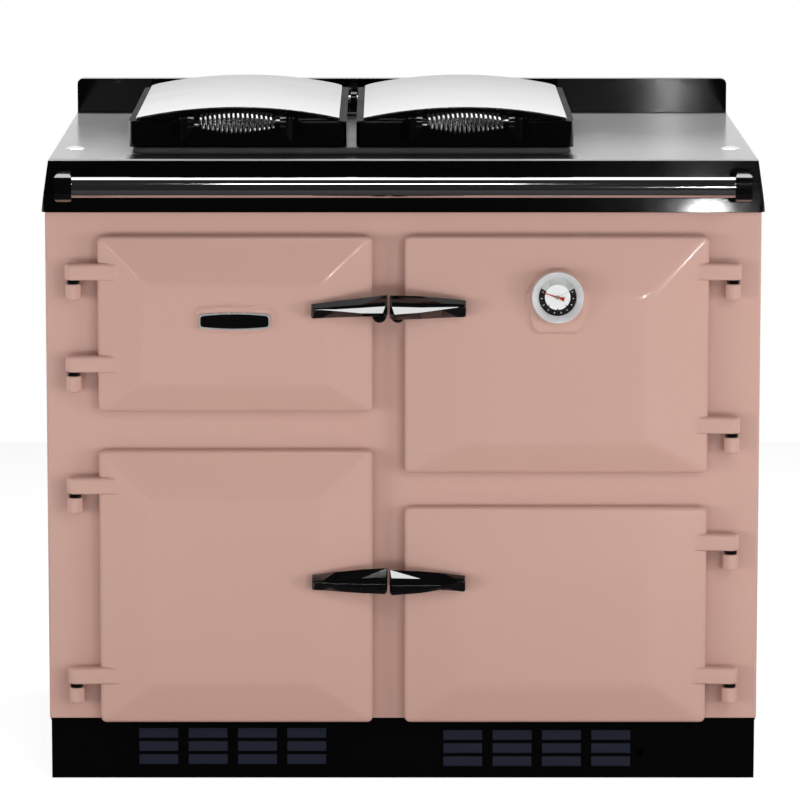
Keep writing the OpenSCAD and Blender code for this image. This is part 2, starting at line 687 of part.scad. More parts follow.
// Corners of the flat field, clockwise from the hinge side's top
function field(i) = let (b = door_bevel[i], s = side(i)) [
  [hinge_edge(i) - s * b[2], door_top[i] - b[0]], [free_edge(i) + s * b[4], door_top[i] - b[0]],
  [free_edge(i) + s * b[5], door_foot[i] + b[1]], [hinge_edge(i) - s * b[3], door_foot[i] + b[1]]];
pivot_depth = 18;                  // bore of a handle pivot
arm_in = 27;                       // how far an arm runs onto the bevel before it dies out
module arm(i, z) {
  s = side(i);
  r = arm_t / 2;
  inner = hinge_edge(i) - s * arm_in;
  intersection() {
    translate([0, 0, z - arm_h / 2]) linear_extrude(arm_h) {
      translate([s * hinge_x, hinge_y]) circle(r);
      polygon([[s * hinge_x, hinge_y - r], [s * hinge_x, hinge_y + r], [inner, hinge_y + r],
        [inner, rim_y - door_raise * arm_in / door_bevel[i][2]]]);
    }
    // rounded front edges
    translate([-body_w / 2, hinge_y + r + 10, z]) rotate([0, 90, 0]) linear_extrude(body_w)
      translate([0, -21 - r]) rounded(arm_h, 2 * r + 42, 5);
  }
}
module door(i) color(enamel) difference() {
  union() {
    stand(door_back_y, door_rim_t) door_outline(i, 0, door_corner);
    hull() {
      stand(rim_y + 0.5, 0.6) door_outline(i, -2, door_corner - 2, $fn = 24);
      stand(field_y + 0.5, 0.5) polygon(field(i));
    }
    for (z = arm_z(i)) arm(i, z);
    translate([pivot_x(i), 0, door_handle_z[i]]) stand(rim_y, rim_y - lever_back_y - clr) circle(11);
    if (i == 0) badge_pad();
    if (i == 2) gauge_boss();
  }
  for (z = arm_z(i)) translate([side(i) * hinge_x, hinge_y, z - arm_h / 2 - cut])
    cylinder(h = 17 + cut, r = pin_d / 2 + clr);
  translate([pivot_x(i), 0, door_handle_z[i]]) stand(lever_back_y + 4 + pivot_depth, pivot_depth + 10)
    circle(pivot_d / 2 + run);
  if (i == 2) translate([gauge_x, 0, gauge_z]) stand(gauge_back_y + 17, 40) circle(gauge_stem_r + clr);
  if (i > 1) stand(door_back_y + cut, 5 + cut) rope_groove(i);
}
module control_door() door(0);
module burner_door() door(1);
module main_oven_door() door(2);
module lower_oven_door() door(3);

// Rope seal in the back of an oven door, half way over the lap
seal_d = 7.4;
module rope_groove(i) difference() {
  door_outline(i, -door_lap / 2 + seal_d / 2 + clr, 14);
  door_outline(i, -door_lap / 2 - seal_d / 2 - clr, 8);
}
module door_rope(i) color("gray")
  translate([door_mid_x(i), door_back_y - 1, (door_top[i] + door_foot[i]) / 2]) rotate([90, 0, 0]) rope_ring(
    right_edge(i) - left_edge(i) - door_lap, door_top[i] - door_foot[i] - door_lap,
    seal_d, 12);
module main_oven_door_rope() door_rope(2);
module lower_oven_door_rope() door_rope(3);

// Pressed pan that fills the opening behind the door
module lining(i) color(steel) difference() {
  g = -door_lap - lining_gap;
  stand(door_back_y + lining_d, lining_d) door_outline(i, g, 12);
  stand(door_back_y + lining_d + cut, 5 + cut) door_outline(i, g - 14, 14);
}
module control_door_lining() lining(0);
module burner_door_lining() lining(1);
module main_oven_door_lining() lining(2);
module lower_oven_door_lining() lining(3);

module door_pins(i) color(black) for (z = arm_z(i)) translate([side(i) * hinge_x, hinge_y, z - arm_h / 2]) {
  translate([0, 0, -ring_h - clr]) cylinder(h = ring_h, d = ring_d);
  translate([0, 0, -ring_h - 2 * clr - 14]) cylinder(h = ring_h + 30, d = pin_d);
}
module control_door_pins() door_pins(0);
module burner_door_pins() door_pins(1);
module main_oven_door_pins() door_pins(2);
module lower_oven_door_pins() door_pins(3);

// Section of a lever at x, h high and t deep, with a front flat f high that sits low
function lever_section(x, z, h, t, f) = let (y0 = lever_back_y, y1 = lever_back_y - t) [
  [x, y0, z + h / 2], [x, y0, z - h / 2], [x, y1 + t * 0.45, z - h / 2], [x, y1, z - h * 0.08 - f],
  [x, y1, z - h * 0.08], [x, y1 + t * 0.3, z + h * 0.3]];
module handle(i) color(black) translate([pivot_x(i), 0, door_handle_z[i]]) {
  s = side(i);
  h1 = lever_latch_h[i];
  z1 = lever_latch_z[i];
  h2 = lever_tip_h;
  rotate([0, s * handle_tilt[i], 0]) mirror([s > 0 ? 0 : 1, 0, 0]) loft([
    lever_section(-handle_latch, z1, h1 - 6, lever_t - 7, 5),
    lever_section(-handle_latch + 5, z1, h1, lever_t, 7),
    lever_section(handle_tip - 5, 0, h2, lever_t - 2, 0.5),
    lever_section(handle_tip, 0, h2 - 6, lever_t - 8, 0.5)]);
}
module handle_with_pivot(i) {
  handle(i);
  color(black) translate([pivot_x(i), 0, door_handle_z[i]])
    stand(lever_back_y + pivot_depth, pivot_depth + 2) circle(pivot_d / 2);
}
module control_door_handle() handle_with_pivot(0);
module burner_door_handle() handle_with_pivot(1);
module main_oven_door_handle() handle_with_pivot(2);
module lower_oven_door_handle() handle_with_pivot(3);

badge_z = door_top_z - badge_down;
pad_out = 3;
// A barrel: straight ends, bowed long sides
module barrel(w, h, bow, r) intersection() {
  side_r = (w * w / 4 + bow * bow) / (2 * bow);
  rounded(w, h + 2 * bow, r);
  translate([0, side_r - (h + bow) / 2]) circle(side_r, $fn = 240);
  translate([0, (h + bow) / 2 - side_r]) circle(side_r, $fn = 240);
}
module badge_pad() translate([door_mid_x(0), 0, badge_z + 3]) stand(field_y + 2, pad_out + 2)
  barrel(badge_w + 5, badge_h + 10, 4, 6);
module name_badge() color(black) translate([door_mid_x(0), 0, badge_z]) {
  stand(field_y - pad_out, 2) barrel(badge_w, badge_h, 4, 5);
  difference() {
    stand(field_y - pad_out - 2, 1) barrel(badge_w, badge_h, 4, 5);
    stand(field_y - pad_out - 2 + cut, 1 + 2 * cut) barrel(badge_w - 3.2, badge_h - 3.2, 4, 4);
  }
}

gauge_x = door_mid_x(2);
gauge_z = door_top_z - gauge_down;
gauge_front_y = field_y - 14;
gauge_back_y = field_y - 5;
gauge_stem_r = 28;
gauge_bezel_w = 5;
module gauge_boss() {
  module shield(r, foot, half, corner) {
    circle(r);
    for (s = [-1, 1]) translate([s * (half - corner), -foot + corner]) circle(corner);
  }
  hull() {
    translate([gauge_x, 0, gauge_z]) {
      stand(gauge_back_y + 1, 1) shield(gauge_d / 2 + 4, 49, 34, 12, $fn = 32);
      stand(rim_y + 1, 1) shield(gauge_d / 2 + 14, 53, 38, 14, $fn = 32);
    }
  }
}
module gauge_case() color(chrome) translate([gauge_x, 0, gauge_z]) rotate([90, 0, 0]) difference() {
  r = gauge_d / 2;
  b = -gauge_back_y;
  bezel = [[r, b], [r, b + 6], [r - 0.7, b + 8], [r - 2.2, b + 9], [r - 4, b + 8], [r - 5, b + 7],
    [r - 5, b + 6.2], [r - 9, b + 2]];
  rotate_extrude() polygon(concat([[0, b - 15], [gauge_stem_r, b - 15], [gauge_stem_r, b]], bezel,
    [[0, b + 2]]));
  translate([0, 0, b - 6]) cylinder(h = 20, r = 0.8 + run, $fn = 24);
}
module gauge_dial() color("white")
  translate([gauge_x, 0, gauge_z]) stand(gauge_back_y - 2, 0.8) difference() {
  circle(gauge_d / 2 - 9.4);
  circle(1.2);
}
module gauge_glass() color("white", 0.3) translate([gauge_x, 0, gauge_z])
  stand(gauge_back_y - 6.5, 1) circle(gauge_d / 2 - gauge_bezel_w - clr);
needle_angle = 162;                // where the needle points at rest
module gauge_needle() color("red") translate([gauge_x, 0, gauge_z]) {
  stand(gauge_back_y - 3.4, 1.2) circle(2.6);
  stand(gauge_back_y + 3, 7) circle(0.8, $fn = 24);
  rotate([0, -needle_angle, 0]) stand(gauge_back_y - 3.6, 0.7)
    polygon([[23, -0.25], [23, 0.25], [0, 1], [-3, 0.9], [-9.5, 3.2], [-9.5, -3.2], [-3, -0.9], [0, -1]]);
}
module left_knob() knob(knob_x[0]);
module right_knob() knob(knob_x[1]);

knuckle_w = 24;
knuckle_in = 45;                   // knuckles from the ends of a lid's rear edge
// Outline of a lid seen from above, w wide, from y0 to y1
module lid_plan(x, w, y0, y1, rf, rb) translate([x, 0]) {
  for (s = [-1, 1]) {
    translate([s * (w / 2 - rf), y0 + rf]) circle(rf);
    translate([s * (w / 2 - rb), y1 - rb]) circle(rb);
  }
  polygon([[-w / 2, y0 + rf], [-w / 2 + rf, y0], [w / 2 - rf, y0], [w / 2, y0 + rf], [w / 2, y1 - rb],
    [w / 2 - rb, y1], [-w / 2 + rb, y1], [-w / 2, y1 - rb]]);
}
// The region under an arch of radius r whose crown is at z
module under_arch(x, r, crown) translate([x, 0, 0]) stand(lid_rear_y + 20, lid_d + 80)
  translate([0, crown - r]) circle(r, $fn = 360);
crown_z = cover_z + lid_crown;
core_in = 5;                       // arched end panel behind the cover's edge
module lid_frame(x) color(black) {
  difference() {
    translate([0, 0, lid_z]) linear_extrude(lid_frame_h) lid_plan(x, lid_w, lid_front_y, lid_rear_y, 12, 14);
    translate([0, 0, lid_z - cut]) linear_extrude(8 + cut)
      lid_plan(x, lid_w - 2 * lid_wall, lid_front_y + lid_wall, lid_rear_y - lid_wall, 8, 8);
  }
  intersection() {
    translate([0, 0, lid_top_z]) linear_extrude(60) lid_plan(x, cover_w - 2 * core_in,
      lid_front_y + cover_in + core_in, lid_rear_y - cover_in - core_in, 4, 10);
    under_arch(x, cover_r - cover_t - clr, crown_z - cover_t - clr);
  }
  for (s = [-1, 1]) knuckle(x + s * (lid_w / 2 - knuckle_in), knuckle_w, rod_d / 2 + run, lid_rear_y);
}
eye_r = 10;                        // round ends of the knuckles and posts
// A block with a bored round end on the rod's axis, w wide, that reaches to y
module knuckle(x, w, bore, y) translate([x - w / 2, 0, 0]) rotate([90, 0, 90])
  linear_extrude(w) difference() {
  union() {
    translate([rod_y, rod_z]) circle(eye_r);
    translate([y - cut, rod_z - eye_r]) square([rod_y - y + cut, 2 * eye_r]);
  }
  translate([rod_y, rod_z]) circle(bore);
}
module lid_cover(x) color(chrome) intersection() {
  difference() {
    under_arch(x, cover_r, crown_z);
    under_arch(x, cover_r - cover_t, crown_z - cover_t);
    box([x - lid_w, lid_front_y - cut, 0], [x + lid_w, lid_rear_y + cut, cover_z - cover_t - 1]);
  }
  translate([0, 0, lid_top_z]) linear_extrude(60)
    lid_plan(x, cover_w, lid_front_y + cover_in, lid_rear_y - cover_in, 3, 16);
}
module lid_plate(x) color(steel) translate([0, 0, lid_z]) linear_extrude(8 - clr)
  lid_plan(x, lid_w - 2 * (lid_wall + clr), lid_front_y + lid_wall + clr, lid_rear_y - lid_wall - clr,
    7.7, 7.7);

boss_w = 8;
boss_r = 9;
lead = coil_wire + 2;              // straight end of the wire, past its bend
bend_r = coil_wire;
coil_half = coil_len / 2 + bend_r + lead;
module lid_brackets(x) color(black) for (s = [-1, 1]) translate([x, 0, 0]) {
  translate([s * coil_half, coil_y, coil_z]) rotate([0, s * 90, 0]) cylinder(h = boss_w, r = boss_r);
  x0 = s * (coil_half + 1);
  x1 = s * (coil_half + boss_w + 22);
  intersection() {
    translate([0, 0, coil_z - 22]) linear_extrude(30) polygon([[x0, coil_y - 5],
      [x0 + s * 9, coil_y - 9], [x0 + s * 16, coil_y - 7], [x1, lid_front_y - clr],
      [x0 + s * 2, lid_front_y - clr], [x0, coil_y + 6]]);
    stand(lid_front_y, coil_out + 20) translate([0, coil_z - 7]) polygon([[x0, -3], [x0, 13],
      [x0 + s * 3, 15],
      [x0 + s * 18, 15], [x1, 5], [x1, -14], [x0 + s * 14, -15]]);
  }
}

// The coil handle: one wire, wound into a barrel, its ends bent onto the axis and run straight
coil_steps = 8;
coil_n = coil_turns * coil_steps;
function coil_r(u) = coil_r_end + (coil_r_mid - coil_r_end) * sin(180 * u);
function coil_point(k) = let (u = k / coil_n, a = 360 * k / coil_steps)
  [coil_len * (u - 0.5), coil_r(u) * cos(a), coil_r(u) * sin(a)];
// A quarter bend from the last turn onto the X axis, then the straight end; way is -1 or 1
function coil_end(way) = let (p = coil_point(way < 0 ? 0 : coil_n), f = way < 0 ? -1 : 1)
  concat([for (a = [30, 60, 90]) p + [way * bend_r * (1 - cos(a)), 0, f * bend_r * sin(a)]],
    [p + [way * (bend_r + lead - clr), 0, f * bend_r]]);
coil_path = concat([for (k = [3 : -1 : 0]) coil_end(-1)[k]], [for (k = [0 : coil_n]) coil_point(k)],
  coil_end(1));
function unit(v) = v / norm(v);
// Rings across the path; radial is taken from the coil's own axis, so no ring twists on the next
function ring(k) = let (n = len(coil_path), p = coil_path[k],
    t = unit(coil_path[min(k + 1, n - 1)] - coil_path[max(k - 1, 0)]),
    out = unit([0, p[1], p[2]]), a = unit(cross(t, out)), b = cross(a, t))
  [for (j = [0 : 5]) p + coil_wire / 2 * (cos(60 * j) * b + sin(60 * j) * a)];
coil_rings = [for (k = [0 : len(coil_path) - 1]) ring(k)];
turn_gaps = [for (k = [0 : coil_n - coil_steps]) for (d = [coil_steps - 2 : coil_steps + 2])
  if (k + d <= coil_n) norm(coil_point(k) - coil_point(k + d)) - coil_wire];
echo(least_gap_between_turns = min(turn_gaps));
module coil(x) color(chrome) translate([x, coil_y, coil_z]) loft(coil_rings);

module lid_hinge_brackets() color(black) {
  end_post = 14;
  in = lid_w / 2 - knuckle_in - knuckle_w / 2 - end_post / 2 - 1.5;
  for (s = [-1, 1]) hinge_post(lid_x(s) + s * in, end_post);
  hinge_post(hotplate_x, 9);
}
module hinge_post(x, w) translate([x - w / 2, 0, 0]) rotate([90, 0, 90]) linear_extrude(w) difference() {
  union() {
    translate([rod_y, rod_z]) circle(eye_r);
    polygon([[rod_y - eye_r, rod_z], [rod_y + eye_r, rod_z], [rod_y + eye_r + 4, hob_h + 4],
      [rod_y + eye_r + 4, hob_h], [rod_y - eye_r - 2, hob_h], [rod_y - eye_r - 2, hob_h + 4]]);
  }
  translate([rod_y, rod_z]) circle(rod_d / 2 + clr);
}
module lid_hinge_rod() color(chrome) {
  half = lid_w + lid_gap / 2 - knuckle_in + knuckle_w / 2 + 3;
  translate([hotplate_x - half, rod_y, rod_z]) rotate([0, 90, 0]) cylinder(h = 2 * half, d = rod_d);
}

module left_lid_frame() lid_frame(lid_x(LEFT));
module left_lid_cover() lid_cover(lid_x(LEFT));
module left_lid_plate() lid_plate(lid_x(LEFT));
module left_lid_brackets() lid_brackets(lid_x(LEFT));
module left_lid_coil() coil(lid_x(LEFT));
module right_lid_frame() lid_frame(lid_x(RIGHT));
module right_lid_cover() lid_cover(lid_x(RIGHT));
module right_lid_plate() lid_plate(lid_x(RIGHT));
module right_lid_brackets() lid_brackets(lid_x(RIGHT));
module right_lid_coil() coil(lid_x(RIGHT));

base_tray();
plinth();
front_plate();
side_panels();
back_panel();
insulation();
top_plate();
splashback();
top_plugs();
hotplate();
hotplate_rope();
rail_brackets();
hand_rail();
hinge_cups();
catch_studs();
main_oven();
lower_oven();
oven_shelves();
boiler();
boiler_sockets();
burner();
control_panel();
flue_spigot();
lid_hinge_brackets();
lid_hinge_rod();
control_door();
burner_door();
main_oven_door();
lower_oven_door();
control_door_lining();
burner_door_lining();
main_oven_door_lining();
lower_oven_door_lining();
control_door_pins();
burner_door_pins();
main_oven_door_pins();
lower_oven_door_pins();
control_door_handle();
burner_door_handle();
main_oven_door_handle();
lower_oven_door_handle();
main_oven_door_rope();
lower_oven_door_rope();
name_badge();
gauge_case();
gauge_dial();
gauge_glass();
gauge_needle();
left_knob();
right_knob();
left_lid_frame();
left_lid_cover();
left_lid_plate();
left_lid_brackets();
left_lid_coil();
right_lid_frame();
right_lid_cover();
right_lid_plate();
right_lid_brackets();
right_lid_coil();
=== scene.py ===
"""Dresses the cast iron range cooker: enamel, chrome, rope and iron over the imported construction.

Everything is in metres, in the construction's own frame: X to the right, Y to the back, Z up,
with the origin on the floor under the middle of the base.
"""

import json
import logging
import math
from dataclasses import dataclass
from enum import Enum
from typing import Callable, Sequence

import bpy
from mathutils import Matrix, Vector


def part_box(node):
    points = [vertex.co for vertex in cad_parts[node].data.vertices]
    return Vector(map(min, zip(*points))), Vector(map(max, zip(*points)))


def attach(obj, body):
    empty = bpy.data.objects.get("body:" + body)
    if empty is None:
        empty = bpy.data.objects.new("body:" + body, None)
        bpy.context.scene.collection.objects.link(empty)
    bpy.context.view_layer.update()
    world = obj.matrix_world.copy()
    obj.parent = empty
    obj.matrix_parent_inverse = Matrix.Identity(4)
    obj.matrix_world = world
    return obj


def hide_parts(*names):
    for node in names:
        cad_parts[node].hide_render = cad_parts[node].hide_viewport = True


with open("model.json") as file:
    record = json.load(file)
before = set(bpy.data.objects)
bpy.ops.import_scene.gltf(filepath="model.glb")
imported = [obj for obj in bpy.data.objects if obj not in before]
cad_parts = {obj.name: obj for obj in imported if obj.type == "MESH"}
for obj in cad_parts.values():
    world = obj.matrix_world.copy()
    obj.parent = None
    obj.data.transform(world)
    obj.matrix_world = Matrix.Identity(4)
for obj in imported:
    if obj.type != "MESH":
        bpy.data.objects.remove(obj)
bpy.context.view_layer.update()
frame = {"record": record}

MM = 0.001
Point = tuple[float, float, float]
Colour = tuple[float, float, float]
Term = float | bpy.types.NodeSocket

log = logging.getLogger("range_cooker")


def body_holding(node: str) -> str:
    """Finds the body that a construction node belongs to.

    Args:
        node: Name of the node.

    Returns:
        The body's name.
    """
    bodies = frame["record"]["behaviour"]["bodies"]
    return next(body for body, nodes in bodies.items() if node in nodes)


def linear(colour: Colour) -> tuple[float, float, float, float]:
    """Turns a display colour, 0 to 1, into the linear colour that a shader takes."""
    return (*(c / 12.92 if c <= 0.04045 else ((c + 0.055) / 1.055) ** 2.4 for c in colour), 1.0)


# ---------------------------------------------------------------- shader nodes


class Wiring:
    """A node tree with short ways to add nodes that are already joined."""

    def __init__(self, tree: bpy.types.NodeTree) -> None:
        """Keeps the tree.

        Args:
            tree: The tree that the nodes go into.
        """
        self.tree = tree

    def add(self, kind: str, values: dict[str | int, object] | None = None,
            **settings: object) -> bpy.types.Node:
        """Adds a node.

        Args:
            kind: Node type without its leading ShaderNode.
            values: What each input takes: a value, or the socket that is joined to it.
            **settings: Properties of the node.

        Returns:
            The new node.
        """
        node = self.tree.nodes.new(f"ShaderNode{kind}")
        for key, value in settings.items():
            setattr(node, key, value)
        self.feed(node, values or {})
        return node

    def feed(self, node: bpy.types.Node, values: dict[str | int, object]) -> None:
        """Gives a node's inputs their values, or joins sockets to them.

        Args:
            node: The node.
            values: What each input takes.
        """
        for key, value in values.items():
            if isinstance(value, bpy.types.NodeSocket):
                self.tree.links.new(value, node.inputs[key])
            else:
                node.inputs[key].default_value = value

    def calculate(self, operation: str, *terms: Term) -> bpy.types.NodeSocket:
        """Adds one step of arithmetic.

        Args:
            operation: Name of the step, such as MULTIPLY.
            *terms: Its numbers, or the sockets that give them.

        Returns:
            The result.
        """
        return self.add("Math", dict(enumerate(terms)), operation=operation).outputs[0]

    def place(self) -> bpy.types.NodeSocket:
        """Gives the shaded point's place in its object."""
        return self.add("TexCoord").outputs["Object"]

    def noise(self, scale: Term, detail: float, roughness: float = 0.5) -> bpy.types.NodeSocket:
        """Adds noise over the object.

        Args:
            scale: Size of the noise, larger for finer.
            detail: Number of finer layers.
            roughness: Strength of the finer layers.

        Returns:
            The noise, about 0.5.
        """
        noise = self.add("TexNoise", {"Vector": self.place(), "Scale": scale, "Detail": detail,
                                      "Roughness": roughness})
        return noise.outputs["Fac"]

    def mix(self, share: Term, first: bpy.types.Node, second: bpy.types.Node) -> bpy.types.Node:
        """Mixes two shaders.

        Args:
            share: How much of the second is taken.
            first: Node of the first shader.
            second: Node of the second shader.

        Returns:
            The mixing node.
        """
        return self.add("MixShader", {0: share, 1: first.outputs[0], 2: second.outputs[0]})

    def use(self, group: "ShaderGroup", values: dict[str, object]) -> bpy.types.NodeSocket:
        """Places a shader group.

        Args:
            group: The group.
            values: What its inputs take.

        Returns:
            The group's result.
        """
        return self.add("Group", values, node_tree=group.tree).outputs[0]


class ShaderGroup(Wiring):
    """A node group with named inputs and one result, built once and placed in many materials."""

    def __init__(self, name: str, inputs: dict[str, float | Colour], result: str, kind: str) -> None:
        """Makes the group's sockets.

        Args:
            name: Name of the group.
            inputs: Default value of each input; a triple makes it a colour.
            result: Name of the result.
            kind: Socket type of the result.
        """
        super().__init__(bpy.data.node_groups.new(name, "ShaderNodeTree"))
        for label, value in inputs.items():
            is_colour = isinstance(value, tuple)
            socket = self.tree.interface.new_socket(
                label, in_out="INPUT", socket_type="NodeSocketColor" if is_colour else "NodeSocketFloat")
            socket.default_value = linear(value) if is_colour else value
        self.tree.interface.new_socket(result, in_out="OUTPUT", socket_type=kind)
        self.source = self.tree.nodes.new("NodeGroupInput")
        self.sink = self.tree.nodes.new("NodeGroupOutput")

    def given(self, label: str) -> bpy.types.NodeSocket:
        """Finds what a material gives the group under a label."""
        return self.source.outputs[label]

    def tinted(self, gain: bpy.types.NodeSocket) -> bpy.types.NodeSocket:
        """Brightens or darkens the given colour."""
        return self.add("VectorMath", {0: self.given("Colour"), "Scale": gain}, operation="SCALE").outputs[0]

    def finished(self, result: bpy.types.NodeSocket) -> "ShaderGroup":
        """Hands the result out.

        Args:
            result: The socket with the result.

        Returns:
            The group itself.
        """
        self.feed(self.sink, {0: result})
        return self


class Effects:
    """The shader groups that several finishes share."""

    def __init__(self) -> None:
        """Builds each group once."""
        self.tone = self._tone_drift()
        self.ripple = self._ripple()
        self.scuff = self._scuff()
        self.fade = self._painted_fade()
        self.soft_edge = self._soft_edge()
        self.lid_reflection_mask = self._lid_reflection_mask()

    @staticmethod
    def _tone_drift() -> ShaderGroup:
        """A slow drift of tone, as a fired colour has from place to place."""
        inputs = {"Colour": (0.8, 0.8, 0.8), "Scale": 3.0, "Amount": 0.1, "Speckle": 0.05}
        group = ShaderGroup("tone_drift", inputs, "Colour", "NodeSocketColor")
        slow = group.calculate("SUBTRACT", group.noise(group.given("Scale"), 3.0), 0.5)
        fine = group.calculate("SUBTRACT", group.noise(900.0, 1.0), 0.5)
        drift = group.calculate("ADD", group.calculate("MULTIPLY", slow, group.given("Amount")),
                                group.calculate("MULTIPLY", fine, group.given("Speckle")))
        return group.finished(group.tinted(group.calculate("ADD", drift, 1.0)))

    @staticmethod
    def _ripple() -> ShaderGroup:
        """The gentle waviness of a poured or cast surface, as a height."""
        inputs = {"Wave": 40.0, "Pit": 600.0, "Pit Share": 0.2}
        group = ShaderGroup("ripple", inputs, "Height", "NodeSocketFloat")
        wave, pit = (group.noise(group.given(label), 2.0) for label in ("Wave", "Pit"))
        pits = group.calculate("MULTIPLY", pit, group.given("Pit Share"))
        return group.finished(group.calculate("ADD", wave, pits))

    @staticmethod
    def _soft_edge() -> ShaderGroup:
        """The slight rounding that enamel and polish leave on every edge, as a normal."""
        group = ShaderGroup("soft_edge", {"Radius": 0.001}, "Normal", "NodeSocketVector")
        bevel = group.add("Bevel", {"Radius": group.given("Radius")}, samples=6)
        return group.finished(bevel.outputs["Normal"])

    @staticmethod
    def _lid_reflection_mask() -> ShaderGroup:
        """Where the deck takes the backdrop's painted reflection: none in the strip before the lids, left
        black as a painted reflection of the lids, all elsewhere.
        """
        blur = 3 * MM
        inputs = {"Left": -0.377, "Right": 0.236, "Front": -0.249}
        group = ShaderGroup("lid_reflection_mask", inputs, "Backdrop Reflection", "NodeSocketFloat")
        axes = group.add("SeparateXYZ", {0: group.place()}).outputs
        lid_strip: Term = 1.0
        for axis, edge, sign in (("X", "Left", 1.0), ("X", "Right", -1.0), ("Y", "Front", -1.0)):
            reach = group.calculate("SUBTRACT", axes[axis], group.given(edge))
            step = group.add("MapRange", {"Value": reach, "From Min": -blur * sign, "From Max": blur * sign})
            lid_strip = group.calculate("MULTIPLY", lid_strip, step.outputs["Result"])
        return group.finished(group.calculate("SUBTRACT", 1.0, lid_strip))

    @staticmethod
    def _painted_fade() -> ShaderGroup:
        """Painted shade: a colour that darkens evenly from the front of the cooker to its back."""
        inputs = {"Colour": (0.8, 0.8, 0.8), "Share": 0.2}
        group = ShaderGroup("fade", inputs, "Colour", "NodeSocketColor")
        depth = group.add("SeparateXYZ", {0: group.place()}).outputs["Y"]
        ramp = group.add("MapRange", {"Value": depth, "From Min": -0.25, "From Max": 0.25})
        loss = group.calculate("MULTIPLY", ramp.outputs["Result"], group.given("Share"))
        return group.finished(group.tinted(group.calculate("SUBTRACT", 1.0, loss)))

    @staticmethod
    def _scuff() -> ShaderGroup:
        """Roughness that varies as handling and wiping leave it."""
        group = ShaderGroup("scuff", {"Low": 0.1, "High": 0.3}, "Roughness", "NodeSocketFloat")
        marks = group.noise(8.0, 6.0, 0.65)
        spread = group.add("MapRange", {"Value": marks, "From Min": 0.3, "From Max": 0.7,
                                        "To Min": group.given("Low"), "To Max": group.given("High")})
        return group.finished(spread.outputs["Result"])


# ---------------------------------------------------------------- finishes


def new_material(name: str) -> tuple[bpy.types.Material, Wiring]:
    """Makes a material.

    Args:
        name: Name of the material.

    Returns:
        The material, and the wiring of its nodes.
    """
    material = bpy.data.materials.new(name)
    material.use_nodes = True
    return material, Wiring(material.node_tree)


@dataclass(frozen=True)
class Finish:
    """A surface finish, built as one material from the shared effects."""

    name: str
    colour: Colour
    roughness: tuple[float, float] = (0.15, 0.25)
    metallic: float = 0.0
    coat: float = 0.0
    coat_roughness: float = 0.03
    drift: float = 0.05
    speckle: float = 0.03
    drift_scale: float = 3.0
    wave: float = 40.0
    pit: float = 600.0
    pit_share: float = 0.2
    bump: float = 0.05
    bump_depth: float = 0.4 * MM
    specular: float = 0.5
    backdrop_reflection_grey: float = 0.0
    soft_edge: float = 1.2 * MM
    fade: float = 0.0

    def build(self, effects: Effects) -> bpy.types.Material:
        """Makes the material.

        Args:
            effects: The shared shader groups.

        Returns:
            The material.
        """
        material, wiring = new_material(self.name)
        colour = wiring.use(effects.tone, {"Colour": linear(self.colour), "Scale": self.drift_scale,
                                           "Amount": self.drift, "Speckle": self.speckle})
        # painted reflection of the white backdrop, where the surface is seen along its face
        if self.backdrop_reflection_grey:
            colour = self._paint_backdrop_reflection(wiring, colour, effects)
        # painted shade, darker towards the back
        if self.fade:
            colour = wiring.use(effects.fade, {"Colour": colour, "Share": self.fade})
        low, high = self.roughness
        height = wiring.use(effects.ripple, {"Wave": self.wave, "Pit": self.pit, "Pit Share": self.pit_share})
        bump = wiring.add("Bump", {"Height": height, "Strength": self.bump, "Distance": self.bump_depth})
        if self.soft_edge:
            wiring.feed(bump, {"Normal": wiring.use(effects.soft_edge, {"Radius": self.soft_edge})})
        wiring.feed(wiring.tree.nodes["Principled BSDF"], {
            "Base Color": colour, "Metallic": self.metallic, "Specular IOR Level": self.specular,
            "Coat Weight": self.coat, "Coat Roughness": self.coat_roughness,
            "Roughness": wiring.use(effects.scuff, {"Low": low, "High": high}),
            "Normal": bump.outputs["Normal"]})
        return material

    def _paint_backdrop_reflection(self, wiring: Wiring, colour: bpy.types.NodeSocket, effects: Effects) -> bpy.types.NodeSocket:
        """Paints a glossy surface's reflection of the white backdrop into its colour: greys it where it is
        seen along its face.

        Args:
            wiring: The material's wiring.
            colour: The surface's own colour.
            effects: The shared shader groups.

        Returns:
            The colour that the shader takes.
        """
        facing = wiring.add("LayerWeight", {"Blend": 0.5}).outputs["Facing"]
        steep = wiring.calculate("POWER", facing, 2.5)
        # painted reflection of the lids: no backdrop grey in the strip before them
        share = wiring.calculate("MULTIPLY", steep, wiring.use(effects.lid_reflection_mask, {}))
        grey = (self.backdrop_reflection_grey, self.backdrop_reflection_grey, self.backdrop_reflection_grey, 1.0)
        mixed = wiring.add("Mix", {"Factor": share, "A": colour, "B": grey}, data_type="RGBA")
        return mixed.outputs["Result"]


PINK = (0.815, 0.652, 0.602)
INK = (0.02, 0.02, 0.024)
WHITE = (1.0, 1.0, 1.0, 1.0)


